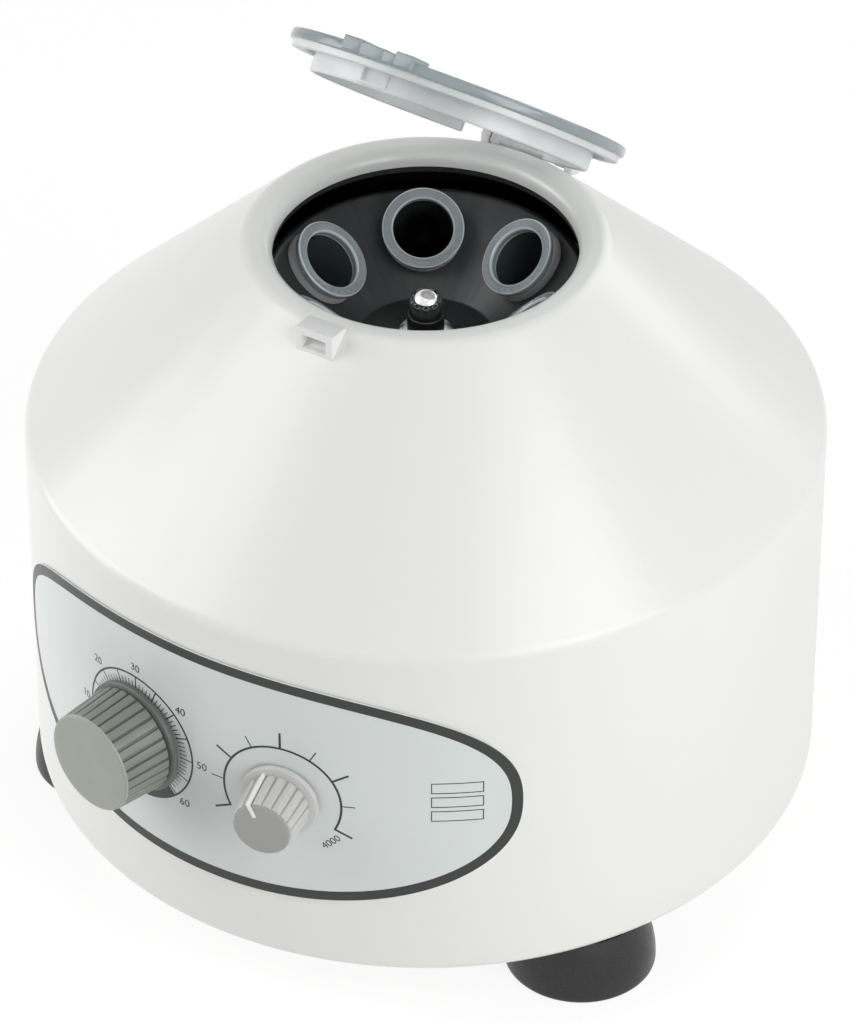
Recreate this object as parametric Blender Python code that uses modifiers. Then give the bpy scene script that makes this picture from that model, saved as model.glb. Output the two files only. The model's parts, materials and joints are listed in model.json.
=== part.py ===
"""Bench butterfat centrifuge: a conical moulded housing with a hinged clear lid, an
angle rotor with six slanted tube sleeves, and the motor and controls that drive it.

World frame: metres, +Z up, front towards -Y, floor at z = 0.  Heights marked "above the
body" are counted from the lower edge of the housing, which stands foot_h above the floor.
"""
import bpy
import bmesh
from math import atan2, cos, degrees, hypot, pi, radians, sin, sqrt, tan
from mathutils import Matrix, Vector

# Driving sizes
gap = 0.0003               # clearance between pieces that touch
body_r = 0.130             # housing: radius of the straight wall
shoulder_z = 0.1276        # height of the edge between wall and cone
lip_z = 0.1958             # top of the lip
lip_r_in = 0.0488          # opening radius
lip_corner_r = 0.0577      # where the flat lip would meet the cone
lip_round = 0.006
shoulder_round = 0.006
skirt_round = 0.005
wall_t = 0.003
collar_depth = 0.0062      # inner collar below the lip
rim_w = 0.008              # width of the housing's turned-in bottom rim
rim_h = 0.004

foot_h = 0.022             # feet
foot_inset = 0.022          # from the wall to a foot's middle
foot_r = 0.0245
foot_top_r = 0.0185
foot_angles = (-60.0, 60.0, 180.0)
foot_recess_r = 0.0065
foot_recess_h = 0.012
foot_screw_r = 0.0025
weld_nut_r = 0.0055
weld_nut_h = 0.004

plate_t = 0.0025           # base plate
base_screw_inset = 0.0145
base_screw_r = 0.0015
base_screw_count = 6
boss_r = 0.004
boss_h = 0.017
vent_count = 10
vent_w = 0.0035
vent_len = 0.026
vent_inset = 0.032         # from the posts to the middle of the vents

axle_open_deg = 40.0       # lid: angle at rest, its hinge and its shape
hinge_reach = 0.0076       # from the lid's edge to the hinge
hinge_drop = 0.0024        # from the lip's top to the hinge
hinge_pin_r = 0.0011
hinge_eye_r = 0.0024
ear_mid = 0.0122
ear_w = 0.0036
lug_w = 0.003
lid_inset = 0.0019         # from the corner of lip and cone to the lid's edge
lid_flange_t = 0.003
lid_land_t = 0.0012
lid_land_inset = 0.0018
lid_land_w = 0.003
lid_skirt_clear = 0.0023   # between skirt and opening
lid_skirt_t = 0.002
lid_skirt_h = 0.008
lid_top_t = 0.0023
tab_w = 0.029
tab_h = 0.0016
tab_len = 0.011

catch_w = 0.0135           # catch on the cone, below the lid's tab
catch_len = 0.0084         # along the cone
catch_rise = 0.0017        # its top above the lip
catch_clear = 0.0008       # between catch and lid
catch_wall = 0.002
catch_roof = 0.0026

dish_r_in = 0.0226         # angle rotor
dish_drop = 0.0398         # from the lip's top to the inner edge of the dish
dish_slope = 42.4
ridge_r = 0.050
dish_t = 0.005
hub_r = 0.013
hub_h = 0.038
hub_boss_r = 0.0095
hub_boss_h = 0.002
socket_r = 0.015
socket_len = 0.036
web_t = 0.003
sleeve_count = 6
rotor_turn = 3.7           # degrees from +X to the first sleeve at rest

sleeve_rim_r = 0.0339      # where the sleeve's rim stands on the rotor
sleeve_rise = 0.019        # rim above the inner edge of the dish
sleeve_flange_r = 0.013
sleeve_flange_h = 0.0061
sleeve_bore_r = 0.0102
sleeve_wall = 0.0011
sleeve_len = 0.0919

shaft_r = 0.004            # spindle
spindle_r = 0.003
shoulder_collar_r = 0.007
shoulder_collar_h = 0.004
washer_r = 0.0088
washer_t = 0.0012
clamp_r = 0.0058
clamp_h = 0.0062
nut_r = 0.00575
nut_h = 0.0042
dome_r = 0.0045

cover_t = 0.0015           # black chamber round the rotor
chamber_inset = 0.0213     # from the housing's wall to the chamber's
bowl_floor_z = 0.0878
bowl_joint_rise = 0.0004   # from the housing's shoulder to the chamber's joint
chamber_flange_w = 0.0063
chamber_neck_clear = 0.0004
chamber_neck_w = 0.0044
chamber_neck_t = 0.0017
bowl_hole_r = 0.0145

motor_r = 0.036            # motor
motor_wall = 0.002
motor_top_z = 0.076
motor_bottom_z = 0.014
bell_t = 0.0037
bearing_r = 0.011
bearing_h = 0.0067
low_bearing_r = 0.008
low_bearing_h = 0.005
bell_boss_wall = 0.003
mount_plate_t = 0.003
mount_plate_inset = 0.0167 # from the chamber's wall to the plate's edge
bell_pad_r = 0.0045
bell_pad_inset = 0.009
core_z = 0.034
core_h = 0.028
core_w = 0.0125
coil_h = 0.005
armature_slots = 9
air_gap = 0.001            # between armature and field
commutator_r = 0.009
commutator_h = 0.0075
brush_stand_off = 0.004    # from the commutator to a brush holder
brush_back = 0.011         # from the motor's wall to a brush's end
fan_clear = 0.014          # between fan and motor's wall
fan_hub_r = 0.007
fan_lift = 0.002           # above the armature
fan_h = 0.006
fan_disc_t = 0.0012
fan_blades = 8
post_inset = 0.0297        # from the chamber's wall to a post's middle
post_r = 0.005
post_top_z = 0.072
damper_r = 0.008
stand_rim_w = 0.018
stand_rim_t = 0.003
stud_r = 0.002
stud_end = 0.004           # stud above the chamber's floor

panel_half_w = 0.1038      # printed panel: half width along the wall, half height
panel_half_h = 0.044
panel_mid_z = 0.070
panel_power = 2.35
panel_t = 0.0005

timer_angle = -12.0        # controls: degrees from the front, heights above the body
timer_z = 0.069
timer_knob_r = 0.0180
timer_face_r = 0.0169
timer_flange_r = 0.0193
timer_knob_len = 0.0204
timer_grooves = 30
timer_box = 0.032
timer_depth = 0.030
speed_angle = 12.0
speed_z = 0.067
speed_knob_r = 0.0107
speed_face_r = 0.0098
speed_flange_r = 0.0130
speed_knob_len = 0.0165
speed_grooves = 18
speed_body_r = 0.012
speed_depth = 0.012
control_shaft_r = 0.003
bush_r = 0.0037
control_nut_r = 0.0065
control_nut_h = 0.0024
knob_stand_off = 0.0004    # between the panel's front and the back of a knob

gland_angle = 160.0        # rear fittings
fuse_angle = 200.0
rear_z = 0.026
gland_r = 0.0085
gland_len = 0.010
gland_bore_r = 0.0036
gland_tip_wall = 0.0012
fuse_r = 0.0062
fuse_cap_r = 0.0080
fuse_cap_len = 0.009
fuse_len = 0.030

board_angle = 120.0        # speed control board
board_inset = 0.0265       # from the housing's wall to the board's middle
board_size = (0.048, 0.024, 0.0016)
board_stand_off = 0.006
board_pillar_r = 0.002
sink_w = 0.018             # heatsink and capacitor on the board
sink_h = 0.015
sink_base = 0.004
sink_len = 0.016
sink_fins = 5
capacitor_r = 0.0055
capacitor_h = 0.016

# Sizes that follow from the others
cone_slope = atan2(lip_z - shoulder_z, body_r - lip_corner_r)
wall_in_r = body_r - wall_t
rim_in_r = body_r - rim_w
lid_r = lip_corner_r - lid_inset
lid_land_r = lid_r - lid_land_inset
lid_skirt_r = lip_r_in - lid_skirt_clear
hinge_r = lid_r + hinge_reach
hinge_z = lip_z - hinge_drop
catch_back_r = lid_r + catch_clear
catch_r = catch_back_r + catch_len
catch_top_z = lip_z + catch_rise
foot_ring_r = body_r - foot_inset
base_screw_ring_r = body_r - base_screw_inset
board_ring_r = body_r - board_inset
chamber_r = body_r - chamber_inset
chamber_flange_r = chamber_r + chamber_flange_w
chamber_neck_r = lip_r_in + chamber_neck_clear
bowl_joint_z = shoulder_z + bowl_joint_rise
post_ring_r = chamber_r - post_inset
vent_ring_r = post_ring_r - vent_inset
mount_plate_r = chamber_r - mount_plate_inset
dish_z_in = lip_z - dish_drop
hub_bottom_z = dish_z_in - hub_h
sleeve_rim_z = dish_z_in + sleeve_rise
panel_in_r = body_r + gap
panel_out_r = panel_in_r + panel_t
knob_back = panel_out_r + knob_stand_off
timer_reach = knob_back + timer_knob_len
front_reach = timer_reach * cos(radians(timer_angle)) + timer_face_r * sin(radians(abs(timer_angle)))
rear_reach = max(foot_ring_r + foot_r, (body_r + gland_len) * cos(radians(180.0 - gland_angle)))
axis_y = (front_reach - rear_reach) / 2.0
dish_run = (cos(radians(dish_slope)), sin(radians(dish_slope)))
ridge_z = dish_z_in + (ridge_r - dish_r_in) * dish_run[1] / dish_run[0]
sleeve_axis = Vector((-dish_run[1], 0.0, dish_run[0]))     # up and inwards
sleeve_out_r = sleeve_bore_r + sleeve_wall
shaft_top_z = dish_z_in + hub_boss_h + washer_t + clamp_h + 3 * gap + nut_h + 0.55 * dome_r
motor_plate_z = bowl_floor_z - gap - mount_plate_t
motor_in_r = motor_r - motor_wall
core_r_in = motor_in_r - core_w
fan_r = motor_in_r - fan_clear
bell_pad_ring_r = motor_r - bell_pad_inset


def dish_depth():
    """Distance along the sleeve's axis from its rim to the surface of the dish."""
    dr, dz = sleeve_rim_r - dish_r_in, sleeve_rim_z - dish_z_in
    return dr * sleeve_axis.x + dz * sleeve_axis.z


# Scene helpers
def clear_scene():
    for ob in list(bpy.data.objects):
        bpy.data.objects.remove(ob, do_unlink=True)


def collection(name):
    col = bpy.data.collections.get(name) or bpy.data.collections.new(name)
    if col.name not in bpy.context.scene.collection.children:
        bpy.context.scene.collection.children.link(col)
    return col


def material(name, colour, rough, metallic=0.0, alpha=1.0):
    mat = bpy.data.materials.get(name) or bpy.data.materials.new(name)
    mat.use_nodes = True
    bsdf = mat.node_tree.nodes["Principled BSDF"]
    bsdf.inputs["Base Color"].default_value = (*colour, 1.0)
    bsdf.inputs["Roughness"].default_value = rough
    bsdf.inputs["Metallic"].default_value = metallic
    bsdf.inputs["Alpha"].default_value = alpha
    mat.diffuse_color = (*colour, alpha)
    return mat


def white_plastic():
    return material("housing_white", (0.83, 0.84, 0.81), 0.35)


def clear_plastic():
    return material("lid_clear", (0.70, 0.75, 0.77), 0.15, alpha=0.55)


def sleeve_plastic():
    return material("sleeve_translucent", (0.62, 0.65, 0.66), 0.3, alpha=0.8)


def black_plastic():
    return material("chamber_black", (0.02, 0.02, 0.02), 0.45)


def rotor_black():
    return material("rotor_satin", (0.045, 0.046, 0.048), 0.35, 0.2)


def black_rubber():
    return material("foot_rubber", (0.012, 0.012, 0.012), 0.3)


def steel():
    return material("zinc_steel", (0.60, 0.60, 0.58), 0.4, 1.0)


def chrome():
    return material("bright_steel", (0.80, 0.80, 0.80), 0.12, 1.0)


def alloy():
    return material("cast_alloy", (0.55, 0.55, 0.56), 0.5, 1.0)


def copper():
    return material("winding_copper", (0.55, 0.25, 0.12), 0.4, 1.0)


def iron():
    return material("laminated_iron", (0.20, 0.20, 0.21), 0.6, 0.8)


def grey_knob():
    return material("timer_knob_grey", (0.36, 0.37, 0.34), 0.45)


def pale_knob():
    return material("speed_knob_grey", (0.58, 0.58, 0.56), 0.45)


def panel_film():
    return material("panel_film", (0.72, 0.79, 0.81), 0.3)


def board_green():
    return material("board_green", (0.03, 0.16, 0.07), 0.5)


def place(ob, parent=None, loc=(0.0, 0.0, 0.0), rot=(0.0, 0.0, 0.0)):
    ob.parent = parent
    ob.location = loc
    ob.rotation_euler = rot
    return ob


def empty(name, parent=None, loc=(0.0, 0.0, 0.0), rot=(0.0, 0.0, 0.0)):
    ob = bpy.data.objects.new(name, None)
    ob.empty_display_size = 0.02
    collection("bench_centrifuge").objects.link(ob)
    return place(ob, parent, loc, rot)


def mesh_object(name, bm, mat=None, cutter=False):
    mesh = bpy.data.meshes.new(name)
    bm.normal_update()
    bm.to_mesh(mesh)
    bm.free()
    ob = bpy.data.objects.new(name, mesh)
    if cutter:
        collection("cutters").objects.link(ob)
        ob.hide_render = True
        ob.display_type = "WIRE"
    else:
        collection("bench_centrifuge").objects.link(ob)
    if mat:
        mesh.materials.append(mat)
    return ob


def smooth(ob, angle=35.0):
    ob.data.shade_smooth()
    ob.data.set_sharp_from_angle(angle=radians(angle))
    return ob


def boolean(ob, cutter, operation="DIFFERENCE"):
    mod = ob.modifiers.new(cutter.name, "BOOLEAN")
    mod.object = cutter
    mod.operation = operation
    mod.solver = "EXACT"
    return mod


def face_outwards(bm):
    bmesh.ops.recalc_face_normals(bm, faces=bm.faces)
    if bm.calc_volume(signed=True) < 0.0:
        bmesh.ops.reverse_faces(bm, faces=bm.faces)


# Profiles and outlines
def rounded(points, segments=4):
    """Turn (x, y, radius) corners of a closed outline into points with filleted corners."""
    out = []
    count = len(points)
    for i, corner in enumerate(points):
        p = Vector(corner[:2])
        r = corner[2] if len(corner) > 2 else 0.0
        a = Vector(points[i - 1][:2]) - p
        b = Vector(points[(i + 1) % count][:2]) - p
        if r <= 0.0 or a.length < 1e-7 or b.length < 1e-7:
            out.append((p.x, p.y))
            continue
        half = a.angle(b) / 2.0
        if half > radians(89.0):
            out.append((p.x, p.y))
            continue
        reach = min(r / tan(half), 0.49 * a.length, 0.49 * b.length)
        r = reach * tan(half)
        start, stop = p + a.normalized() * reach, p + b.normalized() * reach
        centre = p + (a.normalized() + b.normalized()).normalized() * (r / sin(half))
        u, v = start - centre, stop - centre
        turn = u.angle_signed(v)
        for k in range(segments + 1):
            w = u.copy()
            w.rotate(Matrix.Rotation(-turn * k / segments, 2))
            out.append((centre.x + w.x, centre.y + w.y))
    return out


def is_clockwise(points):
    area = 0.0
    for i, (x, y) in enumerate(points):
        x0, y0 = points[i - 1]
        area += x0 * y - x * y0
    return area < 0.0


def turned(name, points, mat=None, steps=32, closed=True, cutter=False):
    """Revolve a profile of (radius, height) points about Z with a Screw modifier."""
    if closed and not is_clockwise(points):
        points = points[::-1]
    bm = bmesh.new()
    verts = [bm.verts.new((x, 0.0, z)) for x, z in points]
    for i in range(len(verts) - 1):
        bm.edges.new((verts[i], verts[i + 1]))
    if closed:
        bm.edges.new((verts[-1], verts[0]))
    ob = mesh_object(name, bm, mat, cutter)
    mod = ob.modifiers.new("turn", "SCREW")
    mod.axis = "Z"
    mod.angle = 2.0 * pi
    mod.steps = steps
    mod.render_steps = steps
    mod.use_merge_vertices = True
    mod.merge_threshold = 0.00001
    mod.use_smooth_shade = True
    return ob


def plate(name, outline, thickness, mat=None, holes=(), cutter=False):
    """Flat piece from a 2D outline, centred on z = 0, turned into a welded mesh."""
    data = bpy.data.curves.new(name, "CURVE")
    data.dimensions = "2D"
    data.fill_mode = "BOTH"
    data.extrude = thickness / 2.0
    for loop in (outline, *holes):
        spline = data.splines.new("POLY")
        spline.points.add(len(loop) - 1)
        for point, (x, y) in zip(spline.points, loop):
            point.co = (x, y, 0.0, 1.0)
        spline.use_cyclic_u = True
    src = bpy.data.objects.new(name + "_curve", data)
    bpy.context.scene.collection.objects.link(src)
    bpy.context.view_layer.update()
    mesh = bpy.data.meshes.new_from_object(src.evaluated_get(bpy.context.evaluated_depsgraph_get()))
    bpy.data.objects.remove(src, do_unlink=True)
    bpy.data.curves.remove(data)
    bm = bmesh.new()
    bm.from_mesh(mesh)
    bpy.data.meshes.remove(mesh)
    bmesh.ops.remove_doubles(bm, verts=bm.verts, dist=0.000001)
    face_outwards(bm)
    return mesh_object(name, bm, mat, cutter)


def add_cylinder(bm, radius, low, high, segments=24, radius_top=None, matrix=None):
    top = radius if radius_top is None else radius_top
    made = bmesh.ops.create_cone(bm, cap_ends=True, segments=segments, radius1=radius, radius2=top,
                                 depth=high - low)
    bmesh.ops.translate(bm, verts=made["verts"], vec=(0.0, 0.0, (low + high) / 2.0))
    if matrix:
        bmesh.ops.transform(bm, matrix=matrix, verts=made["verts"])


def add_box(bm, size, centre, matrix=None):
    made = bmesh.ops.create_cube(bm, size=1.0)
    bmesh.ops.scale(bm, vec=size, verts=made["verts"])
    bmesh.ops.translate(bm, verts=made["verts"], vec=centre)
    if matrix:
        bmesh.ops.transform(bm, matrix=matrix, verts=made["verts"])


def cylinders(name, specs, mat=None, segments=24, cutter=False):
    """One object from (radius, low, high, matrix) cylinders that don't touch each other."""
    bm = bmesh.new()
    for radius, low, high, matrix in specs:
        add_cylinder(bm, radius, low, high, segments, matrix=matrix)
    return mesh_object(name, bm, mat, cutter)


def spot(angle, ring_r, z=0.0):
    """A frame on a circle about the rotor's axis: angle in degrees from the front."""
    a = radians(angle)
    return Matrix.Translation((ring_r * sin(a), -ring_r * cos(a), z)) @ Matrix.Rotation(a, 4, "Z")


def radial(angle, z, distance=0.0):
    """A frame whose Z points straight out of the wall, angle in degrees from the front."""
    turn = Matrix.Rotation(radians(angle), 4, "Z") @ Matrix.Rotation(pi / 2.0, 4, "X")
    return Matrix.Translation((0.0, 0.0, z)) @ turn @ Matrix.Translation((0.0, 0.0, distance))


def sleeve_frame(index):
    """A frame on a sleeve's rim whose Z runs out of the sleeve, up and inwards."""
    turn = Matrix.Rotation(radians(rotor_turn + 360.0 * index / sleeve_count), 4, "Z")
    tilt = Matrix.Rotation(-radians(dish_slope), 4, "Y")
    return turn @ Matrix.Translation((sleeve_rim_r, 0.0, sleeve_rim_z)) @ tilt


def set_matrix(ob, parent, matrix):
    ob.parent = parent
    ob.location = matrix.to_translation()
    ob.rotation_euler = matrix.to_euler()
    return ob


# Housing
def cone_z(r, inset=0.0):
    """Height of the cone at radius r, or of a surface set in from it by inset."""
    return lip_z - (r - lip_corner_r) * tan(cone_slope) - inset / cos(cone_slope)


def cone_r(z, inset=0.0):
    return lip_corner_r + (lip_z - z - inset / cos(cone_slope)) / tan(cone_slope)


def housing_profile():
    lip_under = lip_z - wall_t
    return rounded([
        (lip_r_in, lip_z, 0.0),
        (lip_corner_r, lip_z, lip_round),
        (body_r, shoulder_z, shoulder_round),
        (body_r, 0.0, skirt_round),
        (rim_in_r, 0.0, 0.0),
        (rim_in_r, rim_h, 0.0),
        (wall_in_r, rim_h + rim_w - wall_t, 0.0),
        (wall_in_r, cone_z(wall_in_r, wall_t), 0.0),
        (cone_r(lip_under, wall_t), lip_under, 0.0),
        (lip_r_in + wall_t, lip_under, 0.0),
        (lip_r_in + wall_t, lip_z - collar_depth, 0.0),
        (lip_r_in, lip_z - collar_depth, 0.0),
    ], 3)


def catch_body():
    """Open box on the cone: a roof and two cheeks round a window that faces outwards."""
    side = [(-catch_r, cone_z(catch_r) - 0.0016), (-catch_r, catch_top_z),
            (-catch_back_r, catch_top_z - 0.0010), (-catch_back_r, cone_z(catch_back_r) - 0.0024)]
    box = plate("catch_box", side, catch_w, cutter=True)
    place(box, None, (0, 0, 0), (pi / 2.0, 0, pi / 2.0))
    low = cone_z(catch_r) - 0.004
    hollow = [(-catch_r - 0.002, low), (-catch_r - 0.002, catch_top_z - catch_roof),
              (-catch_back_r - catch_wall, catch_top_z - catch_roof),
              (-catch_back_r - catch_wall, low)]
    window = plate("catch_window", hollow, catch_w - 2.0 * catch_wall, cutter=True)
    place(window, None, (0, 0, 0), (pi / 2.0, 0, pi / 2.0))
    boolean(box, window)
    return box


def lug_outline(reach):
    """Side view of a hinge lug: round at the pin, with its foot sunk in the cone."""
    arc = [(hinge_r + hinge_eye_r * cos(radians(a)), hinge_z + hinge_eye_r * sin(radians(a)))
           for a in range(-30, 151, 36)]
    low = cone_z(hinge_r) - reach
    return arc + [(hinge_r - hinge_eye_r - 0.0006, low + 0.0020), (hinge_r + hinge_eye_r, low)]


def hinge_lugs():
    lugs = []
    middle = ear_mid + ear_w / 2.0 + 0.0004 + lug_w / 2.0
    for side, name in ((-1.0, "lug_left"), (1.0, "lug_right")):
        lug = plate(name, lug_outline(0.0018), lug_w, cutter=True)
        lugs.append(place(lug, None, (side * middle, 0, 0), (pi / 2.0, 0, pi / 2.0)))
    return lugs


def boss_cutters():
    """Screw bosses inside the wall, each joined to it by its own straight flanks."""
    flank = wall_in_r + 0.5 * wall_t - base_screw_ring_r
    outline = [(boss_r * cos(radians(a)), boss_r * sin(radians(a))) for a in range(0, 181, 45)]
    outline += [(-boss_r, -flank), (boss_r, -flank)]
    bosses = []
    for k in range(base_screw_count):
        boss = plate("boss_%d" % (k + 1), outline, boss_h, cutter=True)
        frame = spot(30.0 + 360.0 * k / base_screw_count, base_screw_ring_r,
                     plate_t + gap + boss_h / 2.0)
        bosses.append(set_matrix(boss, None, frame))
    return bosses


def housing(root):
    shell = turned("housing_shell", housing_profile(), white_plastic(), 54)
    for piece in (catch_body(), *hinge_lugs(), *boss_cutters()):
        place_under(piece, root)
        boolean(shell, piece, "UNION")
    pilots = cylinders("boss_pilots", [
        (base_screw_r + gap, 0.0005, plate_t + boss_h - 0.002,
         spot(30.0 + 360.0 * k / base_screw_count, base_screw_ring_r))
        for k in range(base_screw_count)], segments=8, cutter=True)
    wall = (body_r - 0.012, body_r + 0.012)
    holes = cylinders("wall_holes", [
        (bush_r + gap, *wall, radial(timer_angle, timer_z)),
        (bush_r + gap, *wall, radial(speed_angle, speed_z)),
        (gland_r - 0.002 + gap, *wall, radial(gland_angle, rear_z)),
        (fuse_r + gap, *wall, radial(fuse_angle, rear_z))], segments=16, cutter=True)
    across = Matrix.Translation((0, hinge_r, hinge_z)) @ Matrix.Rotation(pi / 2.0, 4, "Y")
    half = ear_mid + ear_w / 2.0
    relief = cylinders("hinge_relief", [
        (hinge_eye_r + 0.0005, -half - 0.0003, half + 0.0003, across)], segments=16, cutter=True)
    pin_bore = cylinders("hinge_bore", [(hinge_pin_r + gap, -2.0 * half, 2.0 * half, across)],
                         segments=12, cutter=True)
    for cutter in (pilots, holes, relief, pin_bore):
        place_under(cutter, root)
        boolean(shell, cutter)
    smooth(shell)
    place(shell, root)
    return shell


def place_under(ob, root):
    """Give an object built in body coordinates the root's place, keeping its own."""
    ob.parent = root
    return ob


# Printed panel
def panel_outline(half_w, half_h, count=64):
    out = []
    for k in range(count):
        a = 2.0 * pi * k / count
        c, s = cos(a), sin(a)
        x = half_w * abs(c) ** (2.0 / panel_power) * (1 if c >= 0 else -1)
        y = half_h * abs(s) ** (2.0 / panel_power) * (1 if s >= 0 else -1)
        out.append((x, y))
    return out


def wrap_on_wall(ob, inner_r, middle_z, strip=0.0105):
    """Bend a flat plate (x along the wall, y up, z out) round the housing's wall."""
    bm = bmesh.new()
    bm.from_mesh(ob.data)
    bmesh.ops.dissolve_limit(bm, angle_limit=0.01, verts=bm.verts, edges=bm.edges)
    reach = max(abs(v.co.x) for v in bm.verts)
    count = int(2.0 * reach / strip)
    for k in range(1, count):
        x = -reach + 2.0 * reach * k / count
        bmesh.ops.bisect_plane(bm, geom=bm.verts[:] + bm.edges[:] + bm.faces[:], dist=1e-7,
                               plane_co=(x, 0, 0), plane_no=(1, 0, 0))
    base = min(v.co.z for v in bm.verts)
    for v in bm.verts:
        a, r = v.co.x / body_r, inner_r + v.co.z - base
        v.co = (r * sin(a), -r * cos(a), middle_z + v.co.y)
    face_outwards(bm)
    bm.to_mesh(ob.data)
    bm.free()


def panel(root):
    film = plate("control_panel", panel_outline(panel_half_w, panel_half_h), panel_t, panel_film())
    wrap_on_wall(film, panel_in_r, panel_mid_z)
    holes = cylinders("panel_holes", [(bush_r + gap, body_r - 0.006, body_r + 0.006, radial(a, z))
                                      for a, z in ((timer_angle, timer_z), (speed_angle, speed_z))],
                      segments=16, cutter=True)
    boolean(film, place_under(holes, root))
    return smooth(place(film, root))


# Base plate, feet and fasteners
def base_plate(root):
    disc = cylinders("base_plate", [(rim_in_r - gap, 0.0, plate_t, None)], steel(), 48)
    weld_nuts = cylinders("weld_nuts", [(weld_nut_r, plate_t - 0.001, plate_t + weld_nut_h,
                                         spot(a, foot_ring_r)) for a in foot_angles],
                          segments=6, cutter=True)
    x, y = board_size[0] / 2.0 - 0.003, board_size[1] / 2.0 - 0.003
    seat = spot(board_angle, board_ring_r)
    pillars = cylinders("board_pillars", [
        (board_pillar_r, plate_t - 0.001, plate_t + board_stand_off, seat @ Matrix.Translation((i, j, 0)))
        for i in (-x, x) for j in (-y, y)], segments=8, cutter=True)
    for piece in (weld_nuts, pillars):
        boolean(disc, place_under(piece, root), "UNION")
    specs = [(foot_screw_r + gap, -0.01, 0.01, spot(a, foot_ring_r)) for a in foot_angles]
    specs += [(base_screw_r + gap, -0.01, 0.01,
               spot(30.0 + 360.0 * k / base_screw_count, base_screw_ring_r))
              for k in range(base_screw_count)]
    holes = cylinders("plate_holes", specs, segments=10, cutter=True)
    bm = bmesh.new()
    for k in range(vent_count):
        add_box(bm, (vent_w, vent_len, 0.02), (0, 0, 0), spot(360.0 * (k + 0.5) / vent_count, vent_ring_r))
    vents = mesh_object("plate_vents", bm, cutter=True)
    for cutter in (holes, vents):
        place_under(cutter, root)
        boolean(disc, cutter)
    return smooth(place(disc, root))


def foot_profile():
    return rounded([
        (foot_screw_r + gap, -gap), (foot_top_r, -gap), (foot_top_r + 0.0005, -0.35 * foot_h),
        (foot_r - 0.0035, -0.62 * foot_h), (foot_r, -foot_h + 0.0022),
        (foot_r - 0.0014, -foot_h), (foot_recess_r, -foot_h),
        (foot_recess_r, -foot_h + foot_recess_h), (foot_screw_r + gap, -foot_h + foot_recess_h)], 1)


def feet(root):
    names = ("foot_front_left", "foot_front_right", "foot_rear")
    first = None
    for name, angle in zip(names, foot_angles):
        foot = turned(name, foot_profile(), black_rubber(), 20)
        set_matrix(foot, root, spot(angle, foot_ring_r))
        first = first or foot
    screw_top = plate_t + 0.0055
    head = -foot_h + foot_recess_h - gap
    shape = [(0, screw_top), (foot_screw_r, screw_top), (foot_screw_r, head), (0.0055, head),
             (0.0055, head - 0.0032), (0.0047, head - 0.004), (0, head - 0.004)]
    for k, angle in enumerate(foot_angles):
        screw = turned("foot_screw_%d" % (k + 1), shape, steel(), 12, closed=False)
        smooth(set_matrix(screw, root, spot(angle, foot_ring_r)))


def ring_prism(bm, r_in, r_out, low, high, matrix, sides):
    """Polygonal nut: a prism with flat sides and a bore of the same number of sides."""
    rings = []
    for r, z in ((r_in, low), (r_out, low), (r_out, high), (r_in, high)):
        rings.append([bm.verts.new(matrix @ Vector((r * cos(2 * pi * k / sides),
                                                    r * sin(2 * pi * k / sides), z)))
                      for k in range(sides)])
    for i in range(4):
        a, b = rings[i], rings[(i + 1) % 4]
        for k in range(sides):
            n = (k + 1) % sides
            bm.faces.new((a[k], a[n], b[n], b[k]))


# Motor stand and motor
def motor_stand(root):
    low = plate_t + gap
    outer = post_ring_r + stand_rim_w / 2.0
    rim = [(outer - stand_rim_w, low), (outer, low), (outer, low + stand_rim_t),
           (outer - stand_rim_w, low + stand_rim_t)]
    stand = turned("motor_stand", rim, steel(), 32)
    posts = cylinders("stand_posts", [(post_r, low + 0.001, post_top_z, spot(120.0 * k, post_ring_r))
                                      for k in range(3)], segments=12, cutter=True)
    stud_top = bowl_floor_z + cover_t + stud_end
    studs = cylinders("stand_studs", [(stud_r, post_top_z - 0.002, stud_top,
                                       spot(120.0 * k, post_ring_r)) for k in range(3)],
                      segments=10, cutter=True)
    boolean(stand, place_under(posts, root), "UNION")
    boolean(stand, place_under(studs, root), "UNION")
    smooth(place(stand, root))
    for k in range(3):
        low_z, high_z = post_top_z + gap, motor_plate_z - gap
        waist = (low_z + high_z) / 2.0
        bore = stud_r + gap
        damper = turned("rubber_damper_%d" % (k + 1), [
            (bore, high_z), (damper_r, high_z), (damper_r - 0.0015, waist), (damper_r, low_z),
            (bore, low_z)], black_rubber(), 12)
        set_matrix(damper, root, spot(120.0 * k, post_ring_r))


def mount_plate(root):
    low, high = motor_plate_z, motor_plate_z + mount_plate_t
    hole = bearing_r + bell_boss_wall + 2 * gap
    disc = turned("motor_plate", [(hole, high), (mount_plate_r, high), (mount_plate_r, low), (hole, low)],
                  steel(), 36)
    bores = cylinders("plate_bores", [(stud_r + gap, low - 0.01, high + 0.01,
                                       spot(120.0 * k, post_ring_r)) for k in range(3)],
                      segments=10, cutter=True)
    boolean(disc, place_under(bores, root))
    return smooth(place(disc, root))


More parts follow.
